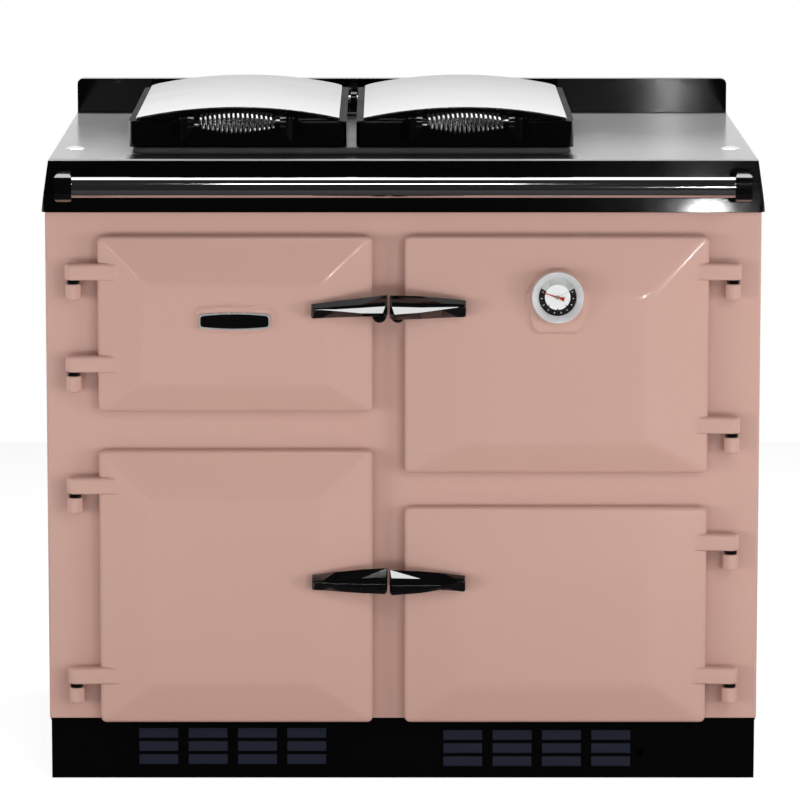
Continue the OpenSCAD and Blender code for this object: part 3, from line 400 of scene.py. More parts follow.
class Coat(Enum):
    """The finishes that the cooker's pieces choose from."""

    PINK_ENAMEL = Finish("pink_enamel", PINK, (0.34, 0.35), coat=0.35, coat_roughness=0.1,
                         drift=0.02, speckle=0.03, wave=55.0, pit=420.0, pit_share=0.35, bump=0.06,
                         bump_depth=0.6 * MM, specular=0.8)
    DOOR_ENAMEL = Finish("door_enamel", PINK, (0.34, 0.35), coat=0.5, coat_roughness=0.08,
                         drift=0.015, speckle=0.03, wave=55.0, pit=420.0, pit_share=0.35, bump=0.06,
                         bump_depth=0.6 * MM, specular=0.8, soft_edge=2.6 * MM)
    BLACK_ENAMEL = Finish("black_enamel", INK, (0.05, 0.1), drift=0.1, speckle=0.1,
                          wave=28.0, pit=300.0, pit_share=0.08, bump=0.05)
    # painted reflection: the deck's grey, seen along its face, is the white backdrop's reflection painted
    # into its colour
    DECK = Finish("deck_enamel", INK, (0.16, 0.2), drift=0.1, speckle=0.1, wave=28.0,
                  pit=300.0, bump=0.03, specular=0.12, backdrop_reflection_grey=0.98)
    # painted highlight: the near-white line along the top plate's rounded front edge
    DECK_EDGE_HIGHLIGHT = Finish("deck_edge_highlight", (0.9, 0.9, 0.9), (0.2, 0.25), drift=0.1, speckle=0.3,
                       drift_scale=14.0, bump=0.0)
    BLACK_GLOSS = Finish("black_gloss", INK, (0.08, 0.16), coat=0.5, coat_roughness=0.04,
                         drift=0.1, wave=60.0, bump=0.04)
    PLINTH_BLACK = Finish("plinth_black", (0.02, 0.02, 0.022), (0.4, 0.48), specular=0.12,
                          drift=0.1, speckle=0.12, wave=80.0, pit=900.0, pit_share=0.6, bump=0.1)
    # painted sheen: the louvres are the plinth's black steel, painted bluish grey where they catch the light
    LOUVRE_SHEEN = Finish("louvre_painted_sheen", (0.13, 0.145, 0.195), (0.4, 0.48), specular=0.15, drift=0.1)
    CHROME = Finish("polished_chrome", (0.93, 0.93, 0.935), (0.05, 0.10), 1.0, drift=0.015,
                    speckle=0.0, wave=12.0, bump=0.01)
    RAIL_CHROME = Finish("rail_chrome", (0.9, 0.9, 0.905), (0.07, 0.09), 1.0, drift=0.0, speckle=0.0,
                         bump=0.0, soft_edge=0.0)
    # painted shade: the chrome covers darken towards their back
    COVER_CHROME = Finish("cover_chrome", (0.92, 0.92, 0.922), (0.12, 0.18), 1.0, drift=0.01,
                          speckle=0.0, wave=9.0, bump=0.01, fade=0.85)
    BARE_IRON = Finish("bare_iron", (0.27, 0.27, 0.28), (0.45, 0.62), 0.55, drift=0.25, speckle=0.2,
                       drift_scale=9.0, wave=160.0, pit=900.0, pit_share=0.9, bump=0.45, bump_depth=0.8 * MM)
    GROUND_IRON = Finish("ground_iron", (0.42, 0.42, 0.43), (0.28, 0.42), 0.9, drift=0.2,
                         speckle=0.15, drift_scale=12.0, wave=300.0, pit=1200.0, bump=0.12)
    SHEET_STEEL = Finish("sheet_steel", (0.66, 0.67, 0.68), (0.25, 0.38), 0.9, drift=0.08,
                         speckle=0.05, drift_scale=14.0, wave=30.0, bump=0.05)
    BADGE_BLACK = Finish("badge_black", (0.03, 0.03, 0.03), (0.3, 0.4), specular=0.2, drift=0.1)
    FRAME_BLACK = Finish("frame_black", (0.015, 0.015, 0.018), (0.05, 0.1), coat=0.5,
                         coat_roughness=0.04, drift=0.1, wave=60.0, bump=0.02, soft_edge=5.0 * MM)
    FRAME_LEDGE = Finish("frame_ledge", (0.04, 0.04, 0.043), (0.45, 0.55), specular=0.05)
    LEVER_BLACK = Finish("lever_black", (0.012, 0.012, 0.014), (0.05, 0.09), coat=1.0,
                         coat_roughness=0.03, specular=1.0, drift=0.05, speckle=0.0, wave=60.0, bump=0.02,
                         soft_edge=0.5 * MM)
    BEZEL = Finish("bezel_chrome", (0.97, 0.97, 0.98), (0.24, 0.25), 0.35, drift=0.0, speckle=0.0,
                   bump=0.0, soft_edge=0.0)
    BADGE_RIM = Finish("badge_rim", (0.80, 0.81, 0.82), (0.25, 0.3), 0.4, drift=0.01, speckle=0.0,
                       bump=0.0, soft_edge=0.0)
    HUB = Finish("needle_hub", (0.72, 0.72, 0.6), (0.3, 0.4), 0.6, drift=0.02)
    COLLAR = Finish("collar_black", (0.03, 0.035, 0.035), (0.12, 0.2), coat=0.4)
    BOARD = Finish("insulation_board", (0.80, 0.76, 0.62), (0.85, 0.95), drift=0.12,
                   speckle=0.2, wave=200.0, bump=0.4)
    ROPE = Finish("braided_rope", (0.34, 0.34, 0.33), (0.55, 0.75), drift=0.3, speckle=0.9,
                  drift_scale=40.0, wave=700.0, pit=2200.0, pit_share=1.0, bump=0.5)
    DIAL_WHITE = Finish("dial_white", (0.96, 0.97, 0.97), (0.3, 0.4), drift=0.02)
    DIAL_INK = Finish("dial_ink", (0.10, 0.10, 0.095), (0.4, 0.5), drift=0.05)
    DIAL_GREY = Finish("dial_grey", (0.76, 0.78, 0.76), (0.4, 0.5), drift=0.05)
    NEEDLE_RED = Finish("needle_red", (0.74, 0.13, 0.08), (0.3, 0.4), drift=0.04)


def clear_glass() -> bpy.types.Material:
    """Makes the gauge's glass: a thin sheet that lets light through and takes a reflection.

    Returns:
        The material.
    """
    material, wiring = new_material("gauge_glass_clear")
    nodes = wiring.tree.nodes
    nodes.remove(nodes["Principled BSDF"])
    mixed = wiring.mix(0.035, wiring.add("BsdfTransparent"), wiring.add("BsdfGlossy", {"Roughness": 0.02}))
    wiring.feed(nodes["Material Output"], {"Surface": mixed.outputs[0]})
    return material


class Palette:
    """Every finish of the cooker, each built once."""

    def __init__(self) -> None:
        """Builds the shared effects and the materials."""
        effects = Effects()
        self.materials = {coat: coat.value.build(effects) for coat in Coat}
        self.glass = clear_glass()

    def paint(self, obj: bpy.types.Object, coat: Coat) -> None:
        """Gives an object one finish over all of it.

        Args:
            obj: The object.
            coat: The finish.
        """
        obj.data.materials.clear()
        obj.data.materials.append(self.materials[coat])

    def pick_out(self, obj: bpy.types.Object, coat: Coat,
                 chosen: Callable[[bpy.types.MeshPolygon], bool]) -> None:
        """Gives some faces of an object a further finish.

        Args:
            obj: The object.
            coat: The finish.
            chosen: Whether a face takes it.
        """
        obj.data.materials.append(self.materials[coat])
        for polygon in obj.data.polygons:
            if chosen(polygon):
                polygon.material_index = len(obj.data.materials) - 1


# ---------------------------------------------------------------- modelling helpers


def select_only(obj: bpy.types.Object) -> None:
    """Makes an object the only selected and the active one."""
    bpy.ops.object.select_all(action="DESELECT")
    obj.select_set(True)
    bpy.context.view_layer.objects.active = obj


def smooth(obj: bpy.types.Object, degrees: float = 35.0) -> None:
    """Shades an object smooth except over its sharper edges.

    Args:
        obj: The object.
        degrees: Angle above which an edge stays crisp.
    """
    select_only(obj)
    bpy.ops.object.shade_smooth_by_angle(angle=math.radians(degrees))


def solid(name: str, vertices: Sequence[Point], faces: Sequence[Sequence[int]]) -> bpy.types.Object:
    """Makes an object from listed corners and faces.

    Args:
        name: Name of the object.
        vertices: Corners, in metres.
        faces: Corner numbers of each face.

    Returns:
        The object, its faces turned outwards.
    """
    bpy.ops.object.select_all(action="DESELECT")
    mesh = bpy.data.meshes.new(name)
    mesh.from_pydata(vertices, [], faces)
    obj = bpy.data.objects.new(name, mesh)
    bpy.context.scene.collection.objects.link(obj)
    select_only(obj)
    bpy.ops.object.mode_set(mode="EDIT")
    bpy.ops.mesh.select_all(action="SELECT")
    bpy.ops.mesh.normals_make_consistent(inside=False)
    bpy.ops.object.mode_set(mode="OBJECT")
    return obj


def lofted(name: str, rings: Sequence[Sequence[Point]]) -> bpy.types.Object:
    """Joins outlines with the same number of corners into one closed solid.

    Args:
        name: Name of the object.
        rings: Corners of each outline, from one end to the other, in metres.

    Returns:
        The solid.
    """
    count, last = len(rings[0]), (len(rings) - 1) * len(rings[0])
    faces = [(first + k, first + (k + 1) % count, first + count + (k + 1) % count, first + count + k)
             for first in range(0, last, count) for k in range(count)]
    faces += [tuple(range(count)), tuple(range(last, last + count))]
    return solid(name, [corner for ring in rings for corner in ring], faces)


def swap(obj: bpy.types.Object, node: str) -> None:
    """Puts a modelled object in a construction node's place.

    Args:
        obj: The modelled object.
        node: Name of the node.
    """
    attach(obj, body_holding(node))
    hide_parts(node)


def cad(node: str) -> bpy.types.Object:
    """Finds the construction's object of a node."""
    return bpy.data.objects[node]


class SubAssembly:
    """One group of the cooker's pieces, modelled and dressed together."""

    title = "sub-assembly"

    def __init__(self, palette: Palette) -> None:
        """Keeps the palette.

        Args:
            palette: The finishes.
        """
        self.palette = palette

    def build(self) -> None:
        """Models the pieces that the construction leaves plain."""

    def dress(self) -> None:
        """Gives the pieces their finishes."""

    def coat(self, coat: Coat, *nodes: str, degrees: float = 35.0) -> None:
        """Gives construction nodes one finish.

        Args:
            coat: The finish.
            *nodes: Names of the nodes.
            degrees: Angle above which an edge stays crisp.
        """
        for node in nodes:
            self.palette.paint(cad(node), coat)
            smooth(cad(node), degrees)
            log.info("%s: %s takes %s", self.title, node, coat.value.name)


# ---------------------------------------------------------------- doors


@dataclass(frozen=True)
class DoorShape:
    """Sizes of one hipped door casting, in metres."""

    node: str
    side: int
    left: float
    right: float
    foot: float
    top: float
    bevel: tuple[float, ...]
    handle_z: float
    soften: float
    corner: float = 8 * MM
    back: float = -311 * MM
    rim: float = -325 * MM
    rise: float = 20 * MM
    edge: float = 4.5 * MM
    hinge: tuple[float, float] = (450 * MM, -322.5 * MM)
    arm_drop: float = 48 * MM
    arm_lift: float = 67 * MM

    @property
    def hinge_edge(self) -> float:
        """X of the edge on the hinge side."""
        return self.left if self.side < 0 else self.right

    def face(self, x: float, z: float) -> float:
        """Height of the casting in front of its rim, before any pad or boss.

        Args:
            x: Place across the door.
            z: Place up the door.

        Returns:
            The height.
        """
        top, foot, hinge_top, hinge_foot, free_top, free_foot = self.bevel
        share = (z - self.foot) / (self.top - self.foot)
        hinge_width = hinge_foot + (hinge_top - hinge_foot) * share
        free_width = free_foot + (free_top - free_foot) * share
        left_width, right_width = (hinge_width, free_width) if self.side < 0 else (free_width, hinge_width)
        slopes = ((x - self.left) / left_width, (self.right - x) / right_width,
                  (self.top - z) / top, (z - self.foot) / foot)
        height = self.rise
        for slope in slopes:
            height = soft_min(height, self.rise * slope, self.soften)
        return height

    def edge_drop(self, x: float, z: float) -> float:
        """How far the rounded rim falls back at a place near the door's edge."""
        inset_x = min(x - self.left, self.right - x)
        inset_z = min(z - self.foot, self.top - z)
        if inset_x < self.corner and inset_z < self.corner:
            inset = self.corner - math.hypot(self.corner - inset_x, self.corner - inset_z)
        else:
            inset = min(inset_x, inset_z)
        if inset >= self.edge:
            return 0.0
        return self.edge - math.sqrt(max(0.0, self.edge ** 2 - (self.edge - max(inset, 0.0)) ** 2))


def soft_min(a: float, b: float, blend: float) -> float:
    """The lesser of two heights, eased where they are close.

    Args:
        a: First height.
        b: Second height.
        blend: Difference below which the two are eased into each other.

    Returns:
        The eased height.
    """
    share = max(blend - abs(a - b), 0.0) / blend
    return min(a, b) - share * share * blend / 4


def soft_step(value: float, low: float, high: float) -> float:
    """Rises smoothly from 0 at low to 1 at high."""
    share = min(1.0, max(0.0, (value - low) / (high - low)))
    return share * share * (3 - 2 * share)


def grid_lines(low: float, high: float, corner: float, step: float) -> list[float]:
    """Places of a sheet's grid lines, close together near both ends.

    Args:
        low: First place.
        high: Last place.
        corner: Width of the finer part at each end.
        step: Spacing in the middle.

    Returns:
        The places in order.
    """
    near = [corner * share for share in (0.0, 0.06, 0.14, 0.25, 0.4, 0.56, 0.78, 1.0)]
    count = max(1, round((high - low - 2 * corner) / step))
    middle = [low + corner + (high - low - 2 * corner) * k / count for k in range(1, count)]
    return [low + d for d in near] + middle + [high - d for d in reversed(near)]


class DoorSheet:
    """Models a door's casting as a closed shell with a softly hipped face."""

    step = 2.6 * MM

    def __init__(self, shape: DoorShape, relief: Callable[[float, float, float], float]) -> None:
        """Keeps the door's sizes.

        Args:
            shape: Sizes of the door.
            relief: Adds the pad or boss to the height at a place.
        """
        self.shape = shape
        self.relief = relief

    def build(self) -> bpy.types.Object:
        """Models the casting.

        Returns:
            The casting.
        """
        shape = self.shape
        xs = grid_lines(shape.left, shape.right, shape.corner, self.step)
        zs = grid_lines(shape.foot, shape.top, shape.corner, self.step)
        vertices: list[Point] = []
        for z in zs:
            for x in xs:
                px, pz = self._into_corner(x, z)
                height = self.relief(px, pz, shape.face(px, pz)) - shape.edge_drop(px, pz)
                vertices.append((px, shape.rim - height, pz))
        wide, high = len(xs), len(zs)
        faces: list[tuple[int, ...]] = [(k, k + 1, k + 1 + wide, k + wide) for row in range(high - 1)
                                        for k in range(row * wide, row * wide + wide - 1)]
        border = [*range(wide), *range(2 * wide - 1, wide * high, wide),
                  *range(wide * high - 2, wide * (high - 1) - 1, -1), *range(wide * (high - 2), 0, -wide)]
        first = len(vertices)
        vertices += [(vertices[k][0], shape.back, vertices[k][2]) for k in border]
        count = len(border)
        faces += [(border[k], border[(k + 1) % count], first + (k + 1) % count, first + k)
                  for k in range(count)]
        faces.append(tuple(first + k for k in range(count)))
        return solid(f"{shape.node}_casting", vertices, faces)

    def _into_corner(self, x: float, z: float) -> tuple[float, float]:
        """Moves a grid point of a square corner into the rounded one."""
        shape = self.shape
        centre_x = min(max(x, shape.left + shape.corner), shape.right - shape.corner)
        centre_z = min(max(z, shape.foot + shape.corner), shape.top - shape.corner)
        dx, dz = x - centre_x, z - centre_z
        reach = math.hypot(dx, dz)
        if not dx or not dz:
            return x, z
        scale = max(abs(dx), abs(dz)) / reach
        return centre_x + dx * scale, centre_z + dz * scale


class Arm:
    """A hinge arm that dies into the door's bevel."""

    height = 22.5 * MM
    radius = 11.5 * MM
    reaches = {-1: 30 * MM, 1: 22 * MM}
    soft = 4.6 * MM

    def __init__(self, shape: DoorShape, z: float) -> None:
        """Keeps the place.

        Args:
            shape: Sizes of the door.
            z: Height of the arm's middle.
        """
        self.shape = shape
        self.z = z

    def build(self) -> bpy.types.Object:
        """Models the arm: a stack of outlines with a rounded front.

        Returns:
            The arm.
        """
        shape = self.shape
        side = shape.side
        hinge_x, hinge_y = side * shape.hinge[0], shape.hinge[1]
        inner = shape.hinge_edge - side * self.reaches[side]
        rings = []
        for z, inset in self._levels():
            radius = self.radius - inset
            outline = [(hinge_x + side * radius * math.sin(a), hinge_y - radius * math.cos(a))
                       for a in (math.pi * k / 16 for k in range(17))]
            dead = shape.rim - shape.face(inner, self.z) + 1.2 * MM + inset
            outline += [(inner, hinge_y + radius), (inner, dead)]
            rings.append([(x, y, z) for x, y in outline])
        return lofted(f"{shape.node}_arm", rings)

    def _levels(self) -> list[tuple[float, float]]:
        """Height of each outline of the stack, and how far its front stands back."""
        low, high, soft = self.z - self.height / 2, self.z + self.height / 2, self.soft
        turn = [math.pi / 2 * k / 6 for k in range(7)]
        sharp = soft * 0.55
        foot = [(low + sharp * (1 - math.sin(a)), sharp * (1 - math.cos(a))) for a in reversed(turn)]
        head = [(high - soft * (1 - math.sin(a)), soft * (1 - math.cos(a))) for a in turn]
        return foot + head


def join(name: str, pieces: Sequence[bpy.types.Object]) -> bpy.types.Object:
    """Joins objects into the first of them.

    Args:
        name: Name of the joined object.
        pieces: The objects.

    Returns:
        The joined object.
    """
    bpy.ops.object.select_all(action="DESELECT")
    for piece in pieces:
        piece.select_set(True)
    bpy.context.view_layer.objects.active = pieces[0]
    bpy.ops.object.join()
    pieces[0].name = name
    return pieces[0]


def turned(name: str, x: float, z: float, profile: Sequence[tuple[float, float]],
           segments: int = 64) -> bpy.types.Object:
    """Models a turned piece about an axis along Y, closed at both ends.

    Args:
        name: Name of the object.
        x: Axis across.
        z: Axis up.
        profile: Y and radius of each ring, from one end to the other.
        segments: Number of sides.

    Returns:
        The piece.
    """
    angles = [2 * math.pi * k / segments for k in range(segments)]
    return lofted(name, [[(x + radius * math.cos(a), y, z + radius * math.sin(a)) for a in angles]
                         for y, radius in profile])


@dataclass(frozen=True)
class LeverShape:
    """Sizes of one facetted lever, in millimetres from its pivot.

    Each station gives its distance from the pivot, positive to the latch end, and the height of the
    lever's top, of its three front ridges and of its foot.
    """

    door: str
    side: int
    pivot: tuple[float, float]
    stations: tuple[tuple[float, ...], ...]


class Lever:
    """Models a lever: a long bar with a cut front, widest at its latch end."""

    back = -349.0
    ridge = 15.0
    slopes = tuple(math.tan(math.radians(a)) for a in (52.0, 40.0, 28.0))
    end_run = (1.5, 0.6, 2.4, 3.0, 6.4, 3.6, 2.0)

    def __init__(self, shape: LeverShape) -> None:
        """Keeps the lever's sizes.

        Args:
            shape: Sizes of the lever.
        """
        self.shape = shape

    def build(self) -> bpy.types.Object:
        """Models the lever.

        Returns:
            The lever.
        """
        shape = self.shape
        sections = [self._section(station) for station in shape.stations]
        first, last = shape.stations[0][0], shape.stations[-1][0]
        for place, share in ((0, -1.0), (-1, 0.7)):
            sections[place] = [(u + run * share, depth, z)
                               for (u, depth, z), run in zip(sections[place], self.end_run, strict=True)]
        sections.insert(0, self._end(sections[0], first))
        sections.append(self._end(sections[-1], last))
        rings = [[self._place(point) for point in section] for section in sections]
        return lofted(f"{shape.door}_lever", rings)

    def _section(self, station: tuple[float, ...]) -> list[tuple[float, float, float]]:
        """Outline of the lever at a station, from its back over the top to its foot."""
        u, top, first, second, third, foot = station
        depth_1 = self.ridge - (first - second) * self.slopes[1]
        depth_0 = max(1.5, depth_1 - (top - first) * self.slopes[0])
        depth_3 = self.ridge + (second - third) * self.slopes[2]
        low = max(5.0, depth_3 - (third - foot) * 0.9)
        return [(u, 0.0, top - 2.0), (u, depth_0, top), (u, depth_1, first), (u, self.ridge, second),
                (u, depth_3, third), (u, low, foot), (u, 0.0, foot + 1.5)]

    @staticmethod
    def _end(section: list[tuple[float, float, float]], u: float) -> list[tuple[float, float, float]]:
        """Smaller outline of a bevelled end."""
        middle = sum(z for _, _, z in section) / len(section)
        return [(u, depth * 0.82, middle + (z - middle) * 0.9) for _, depth, z in section]

    def _place(self, point: tuple[float, float, float]) -> Point:
        """Puts a point of the lever in the cooker's frame."""
        u, depth, z = point
        x = self.shape.pivot[0] - self.shape.side * u
        return x * MM, (self.back - depth) * MM, (self.shape.pivot[1] + z) * MM


def plate(name: str, outline: Sequence[tuple[float, float]], back: float, front: float) -> bpy.types.Object:
    """Models a flat plate that faces the front.

    Args:
        name: Name of the object.
        outline: X and Z of its corners.
        back: Y of its back.
        front: Y of its front.

    Returns:
        The plate.
    """
    return lofted(name, [[(x, y, z) for x, z in outline] for y in (back, front)])


def ring_sector(centre: tuple[float, float], inner: float, outer: float, start: float,
                end: float) -> list[tuple[float, float]]:
    """Corners of a part of a flat ring.

    Args:
        centre: X and Z of the middle.
        inner: Inner radius.
        outer: Outer radius.
        start: First angle, in degrees from +X towards +Z.
        end: Last angle.

    Returns:
        X and Z of each corner.
    """
    count = max(2, round(abs(end - start) / 3))
    angles = [math.radians(start + (end - start) * k / count) for k in range(count + 1)]
    rows = [(outer, angles), (inner, list(reversed(angles)))]
    return [(centre[0] + r * math.cos(a), centre[1] + r * math.sin(a)) for r, row in rows for a in row]


# ---------------------------------------------------------------- plain pieces


class Casing(SubAssembly):
    """The base, plinth, panels, top plate and splashback."""

    title = "casing"
    deck_depth = 2 * MM
    edge_highlight_depth = 4 * MM
    louvre_front = -294.6 * MM

    def dress(self) -> None:
        """Gives the casing its enamel, its bare steel and its louvres."""
        self.coat(Coat.PINK_ENAMEL, "front_plate")
        self.coat(Coat.BLACK_ENAMEL, "top_plate", "splashback")
        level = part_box("top_plate")[1].z
        self.palette.pick_out(cad("top_plate"), Coat.DECK, lambda face: (
            face.normal.z > 0.9 and abs(face.center.z - level) < self.deck_depth))
        # painted highlight along the deck's rounded front edge
        self.palette.pick_out(cad("top_plate"), Coat.DECK_EDGE_HIGHLIGHT, lambda face: (
            -0.97 < face.normal.y < -0.15 and face.normal.z > 0.2
            and level - face.center.z < self.edge_highlight_depth))
        self.coat(Coat.PLINTH_BLACK, "plinth", "base_tray")
        # painted sheen on the louvre faces
        self.palette.pick_out(cad("plinth"), Coat.LOUVRE_SHEEN, lambda face: face.center.y < self.louvre_front)
        self.coat(Coat.BLACK_GLOSS, "side_panels")
        self.coat(Coat.SHEET_STEEL, "back_panel")
        self.coat(Coat.BOARD, "insulation")
        self.coat(Coat.CHROME, "top_plugs")


class Inside(SubAssembly):
    """The ovens, boiler, burner, control panel and flue."""

    title = "inside"

    def dress(self) -> None:
        """Gives the working pieces their finishes."""
        self.coat(Coat.BARE_IRON, "main_oven", "lower_oven", "boiler", "flue_spigot")
        self.coat(Coat.CHROME, "oven_shelves")
        self.coat(Coat.SHEET_STEEL, "burner", "control_panel")
        self.coat(Coat.BLACK_GLOSS, "left_knob", "right_knob")


class HandRail(SubAssembly):
    """The chrome rail across the front and its brackets."""

    title = "hand rail"

    def dress(self) -> None:
        """Polishes the rail."""
        self.coat(Coat.RAIL_CHROME, "hand_rail")
        self.coat(Coat.BLACK_GLOSS, "rail_brackets")


class Hotplate(SubAssembly):
    """The ground iron hotplate in its ring of rope."""

    title = "hotplate"

    def dress(self) -> None:
        """Gives the plate its ground finish and the ring its fibre."""
        self.coat(Coat.GROUND_IRON, "hotplate")
        self.coat(Coat.ROPE, "hotplate_rope")


class Lids(SubAssembly):
    """Both insulated lids with their coiled handles, and the rod they turn on."""

    title = "lids"
    ledge_depth = 20 * MM

    def dress(self) -> None:
        """Polishes the covers and coils and blackens the frames."""
        self.coat(Coat.BLACK_GLOSS, "lid_hinge_brackets")
        self.coat(Coat.CHROME, "lid_hinge_rod")
        for side in ("left", "right"):
            self.coat(Coat.FRAME_BLACK, f"{side}_lid_frame")
            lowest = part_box(f"{side}_lid_frame")[1].z - self.ledge_depth
            self.palette.pick_out(cad(f"{side}_lid_frame"), Coat.FRAME_LEDGE, lambda face, lowest=lowest: (
                face.normal.z > 0.5 and face.center.z > lowest))
            self.coat(Coat.BLACK_GLOSS, f"{side}_lid_brackets")
            # the covers carry painted shade that darkens towards their back
            self.coat(Coat.COVER_CHROME, f"{side}_lid_cover")
            self.coat(Coat.SHEET_STEEL, f"{side}_lid_plate")
            self.coat(Coat.CHROME, f"{side}_lid_coil")


class Doors(SubAssembly):
    """The four doors with their pins, linings, ropes and lever handles."""

    title = "doors"
    names = ("control_door", "burner_door", "main_oven_door", "lower_oven_door")
    shapes = (
        DoorShape("control_door", -1, -417 * MM, -42 * MM, 522 * MM, 764 * MM,
                  tuple(v * MM for v in (65, 42, 69, 62, 78, 56)), 668.5 * MM, 1.6 * MM),
        DoorShape("burner_door", -1, -417 * MM, -42 * MM, 87 * MM, 468 * MM,
                  tuple(v * MM for v in (67, 60, 67, 80, 75, 80)), 292 * MM, 1.6 * MM),
        DoorShape("main_oven_door", 1, 2 * MM, 417 * MM, 437 * MM, 764 * MM,
                  tuple(v * MM for v in (89, 46, 88, 78, 88, 80)), 668.5 * MM, 3.2 * MM),
        DoorShape("lower_oven_door", 1, 2 * MM, 417 * MM, 87 * MM, 389 * MM,
                  tuple(v * MM for v in (86, 57, 82, 72, 82, 74)), 292 * MM, 3.2 * MM),
    )
    levers = (
        LeverShape("control_door", -1, (-72.0, 668.5), (
            (50.5, 19.1, 10.2, 5.4, -3.5, -8.3), (16.0, 15.0, 7.2, 3.3, -3.8, -9.0),
            (-20.7, 11.1, 4.5, 1.2, -0.9, -11.2), (-38.5, 8.8, 3.0, 1.2, 0.4, -12.2),
            (-53.0, 7.4, 2.2, 0.9, 0.3, -12.8))),
        LeverShape("burner_door", -1, (-72.0, 292.0), (
            (50.5, 17.8, 6.2, -2.0, -8.6, -16.4), (16.0, 16.0, 4.8, -2.0, -6.8, -15.8),
            (-20.7, 12.3, 3.2, -1.4, -3.2, -13.7), (-38.5, 10.0, 2.0, -0.1, -0.7, -12.6),
            (-53.0, 9.0, 1.6, -0.2, -0.6, -12.2))),
        LeverShape("main_oven_door", 1, (32.0, 668.5), (
            (50.5, 18.4, 10.2, 4.7, -5.3, -13.6), (8.0, 17.4, 8.8, 3.7, -2.8, -12.8),
            (-20.0, 15.0, 8.6, 4.2, 0.9, -11.8), (-42.0, 13.2, 8.2, 4.6, 3.8, -11.1),
            (-53.0, 12.2, 7.4, 4.2, 3.6, -11.0))),
        LeverShape("lower_oven_door", 1, (32.0, 292.0), (
            (50.5, 15.0, 4.8, -4.1, -12.7, -17.4), (8.0, 13.3, 4.1, -4.1, -10.3, -14.4),
            (-19.0, 11.0, 3.8, -3.4, -5.5, -10.8), (-42.0, 9.2, 4.6, 1.6, 0.4, -13.4),
            (-53.0, 8.6, 4.2, 1.8, 1.0, -14.6))),
    )
    pivot_in = 30 * MM
    pivot_boss_radius = 11 * MM
    lever_back = -349 * MM
    pad_centre = (-229.5 * MM, 653.4 * MM)
    pad_rise = 23 * MM
    boss_centre = (209.5 * MM, 684.5 * MM)
    boss_rise = 25 * MM
    boss_radius = 39.5 * MM

    def build(self) -> None:
        """Models each door's casting with its arms and bosses in one piece."""
        for shape in self.shapes:
            relief = {"control_door": self._pad, "main_oven_door": self._boss}.get(shape.node, self._plain)
            pieces = [DoorSheet(shape, relief).build()]
            arm_heights = (shape.top - shape.arm_drop, shape.foot + shape.arm_lift)
            pieces += [Arm(shape, z).build() for z in arm_heights]
            pivot = (shape.right if shape.side < 0 else shape.left) + shape.side * self.pivot_in
            ends = (shape.rim + 2 * MM, self.lever_back + 0.4 * MM)
            pieces.append(turned(f"{shape.node}_pivot_boss", pivot, shape.handle_z,
                                 [(y, self.pivot_boss_radius) for y in ends], 48))
            door = join(f"{shape.node}_enamelled", pieces)
            self.palette.paint(door, Coat.DOOR_ENAMEL)
            smooth(door, 40.0)
            swap(door, shape.node)
            log.info("%s: %s modelled with %d faces", self.title, shape.node, len(door.data.polygons))
        for shape in self.levers:
            lever = Lever(shape).build()
            self.palette.paint(lever, Coat.LEVER_BLACK)
            swap(lever, f"{shape.door}_handle")
            log.info("%s: %s modelled", self.title, lever.name)

    @staticmethod
    def _plain(x: float, z: float, height: float) -> float:
        """Leaves a door's face as it is."""
        return height

    def _pad(self, x: float, z: float, height: float) -> float:
        """Raises the badge's pad, a barrel with bowed long sides."""
        half_w, half_h, bow = 52.5 * MM, 15.4 * MM, 2.6 * MM
        dx, dz = abs(x - self.pad_centre[0]), abs(z - self.pad_centre[1])
        side = max(0.0, 1 - (dx / half_w) ** 2)
        reach = min(half_w - dx, half_h - bow + 2 * bow * side - dz)
        return height + (self.pad_rise - height) * soft_step(reach, -2.6 * MM, 0.6 * MM)

    def _boss(self, x: float, z: float, height: float) -> float:
        """Raises the gauge's boss, round above and widening to a straight foot."""
        dx, dz = x - self.boss_centre[0], z - self.boss_centre[1]
        spread, corner = 2.8 * MM, 12 * MM
        if dz > 0:
            reach = self.boss_radius - 4.5 * MM * soft_step(dz, 0.0, 18 * MM) - math.hypot(dx, dz)
        else:
            half = self.boss_radius - 5 * MM * min(1.0, -dz / (40 * MM))
            ox, oz = abs(dx) - (half - corner), -dz - (49 * MM - corner)
            reach = corner - math.hypot(max(ox, 0.0), max(oz, 0.0)) - min(0.0, max(ox, oz))
        return max(height, height + (self.boss_rise - height) * soft_step(reach, -spread, 1.5 * MM))

    def dress(self) -> None:
        """Gives the doors and their fittings their finishes."""
        for door in self.names:
            self.coat(Coat.COLLAR, f"{door}_pins")
            self.coat(Coat.SHEET_STEEL, f"{door}_lining")
        self.coat(Coat.ROPE, "main_oven_door_rope", "lower_oven_door_rope")
        self.coat(Coat.PINK_ENAMEL, "hinge_cups")
        self.coat(Coat.BLACK_GLOSS, "catch_studs")


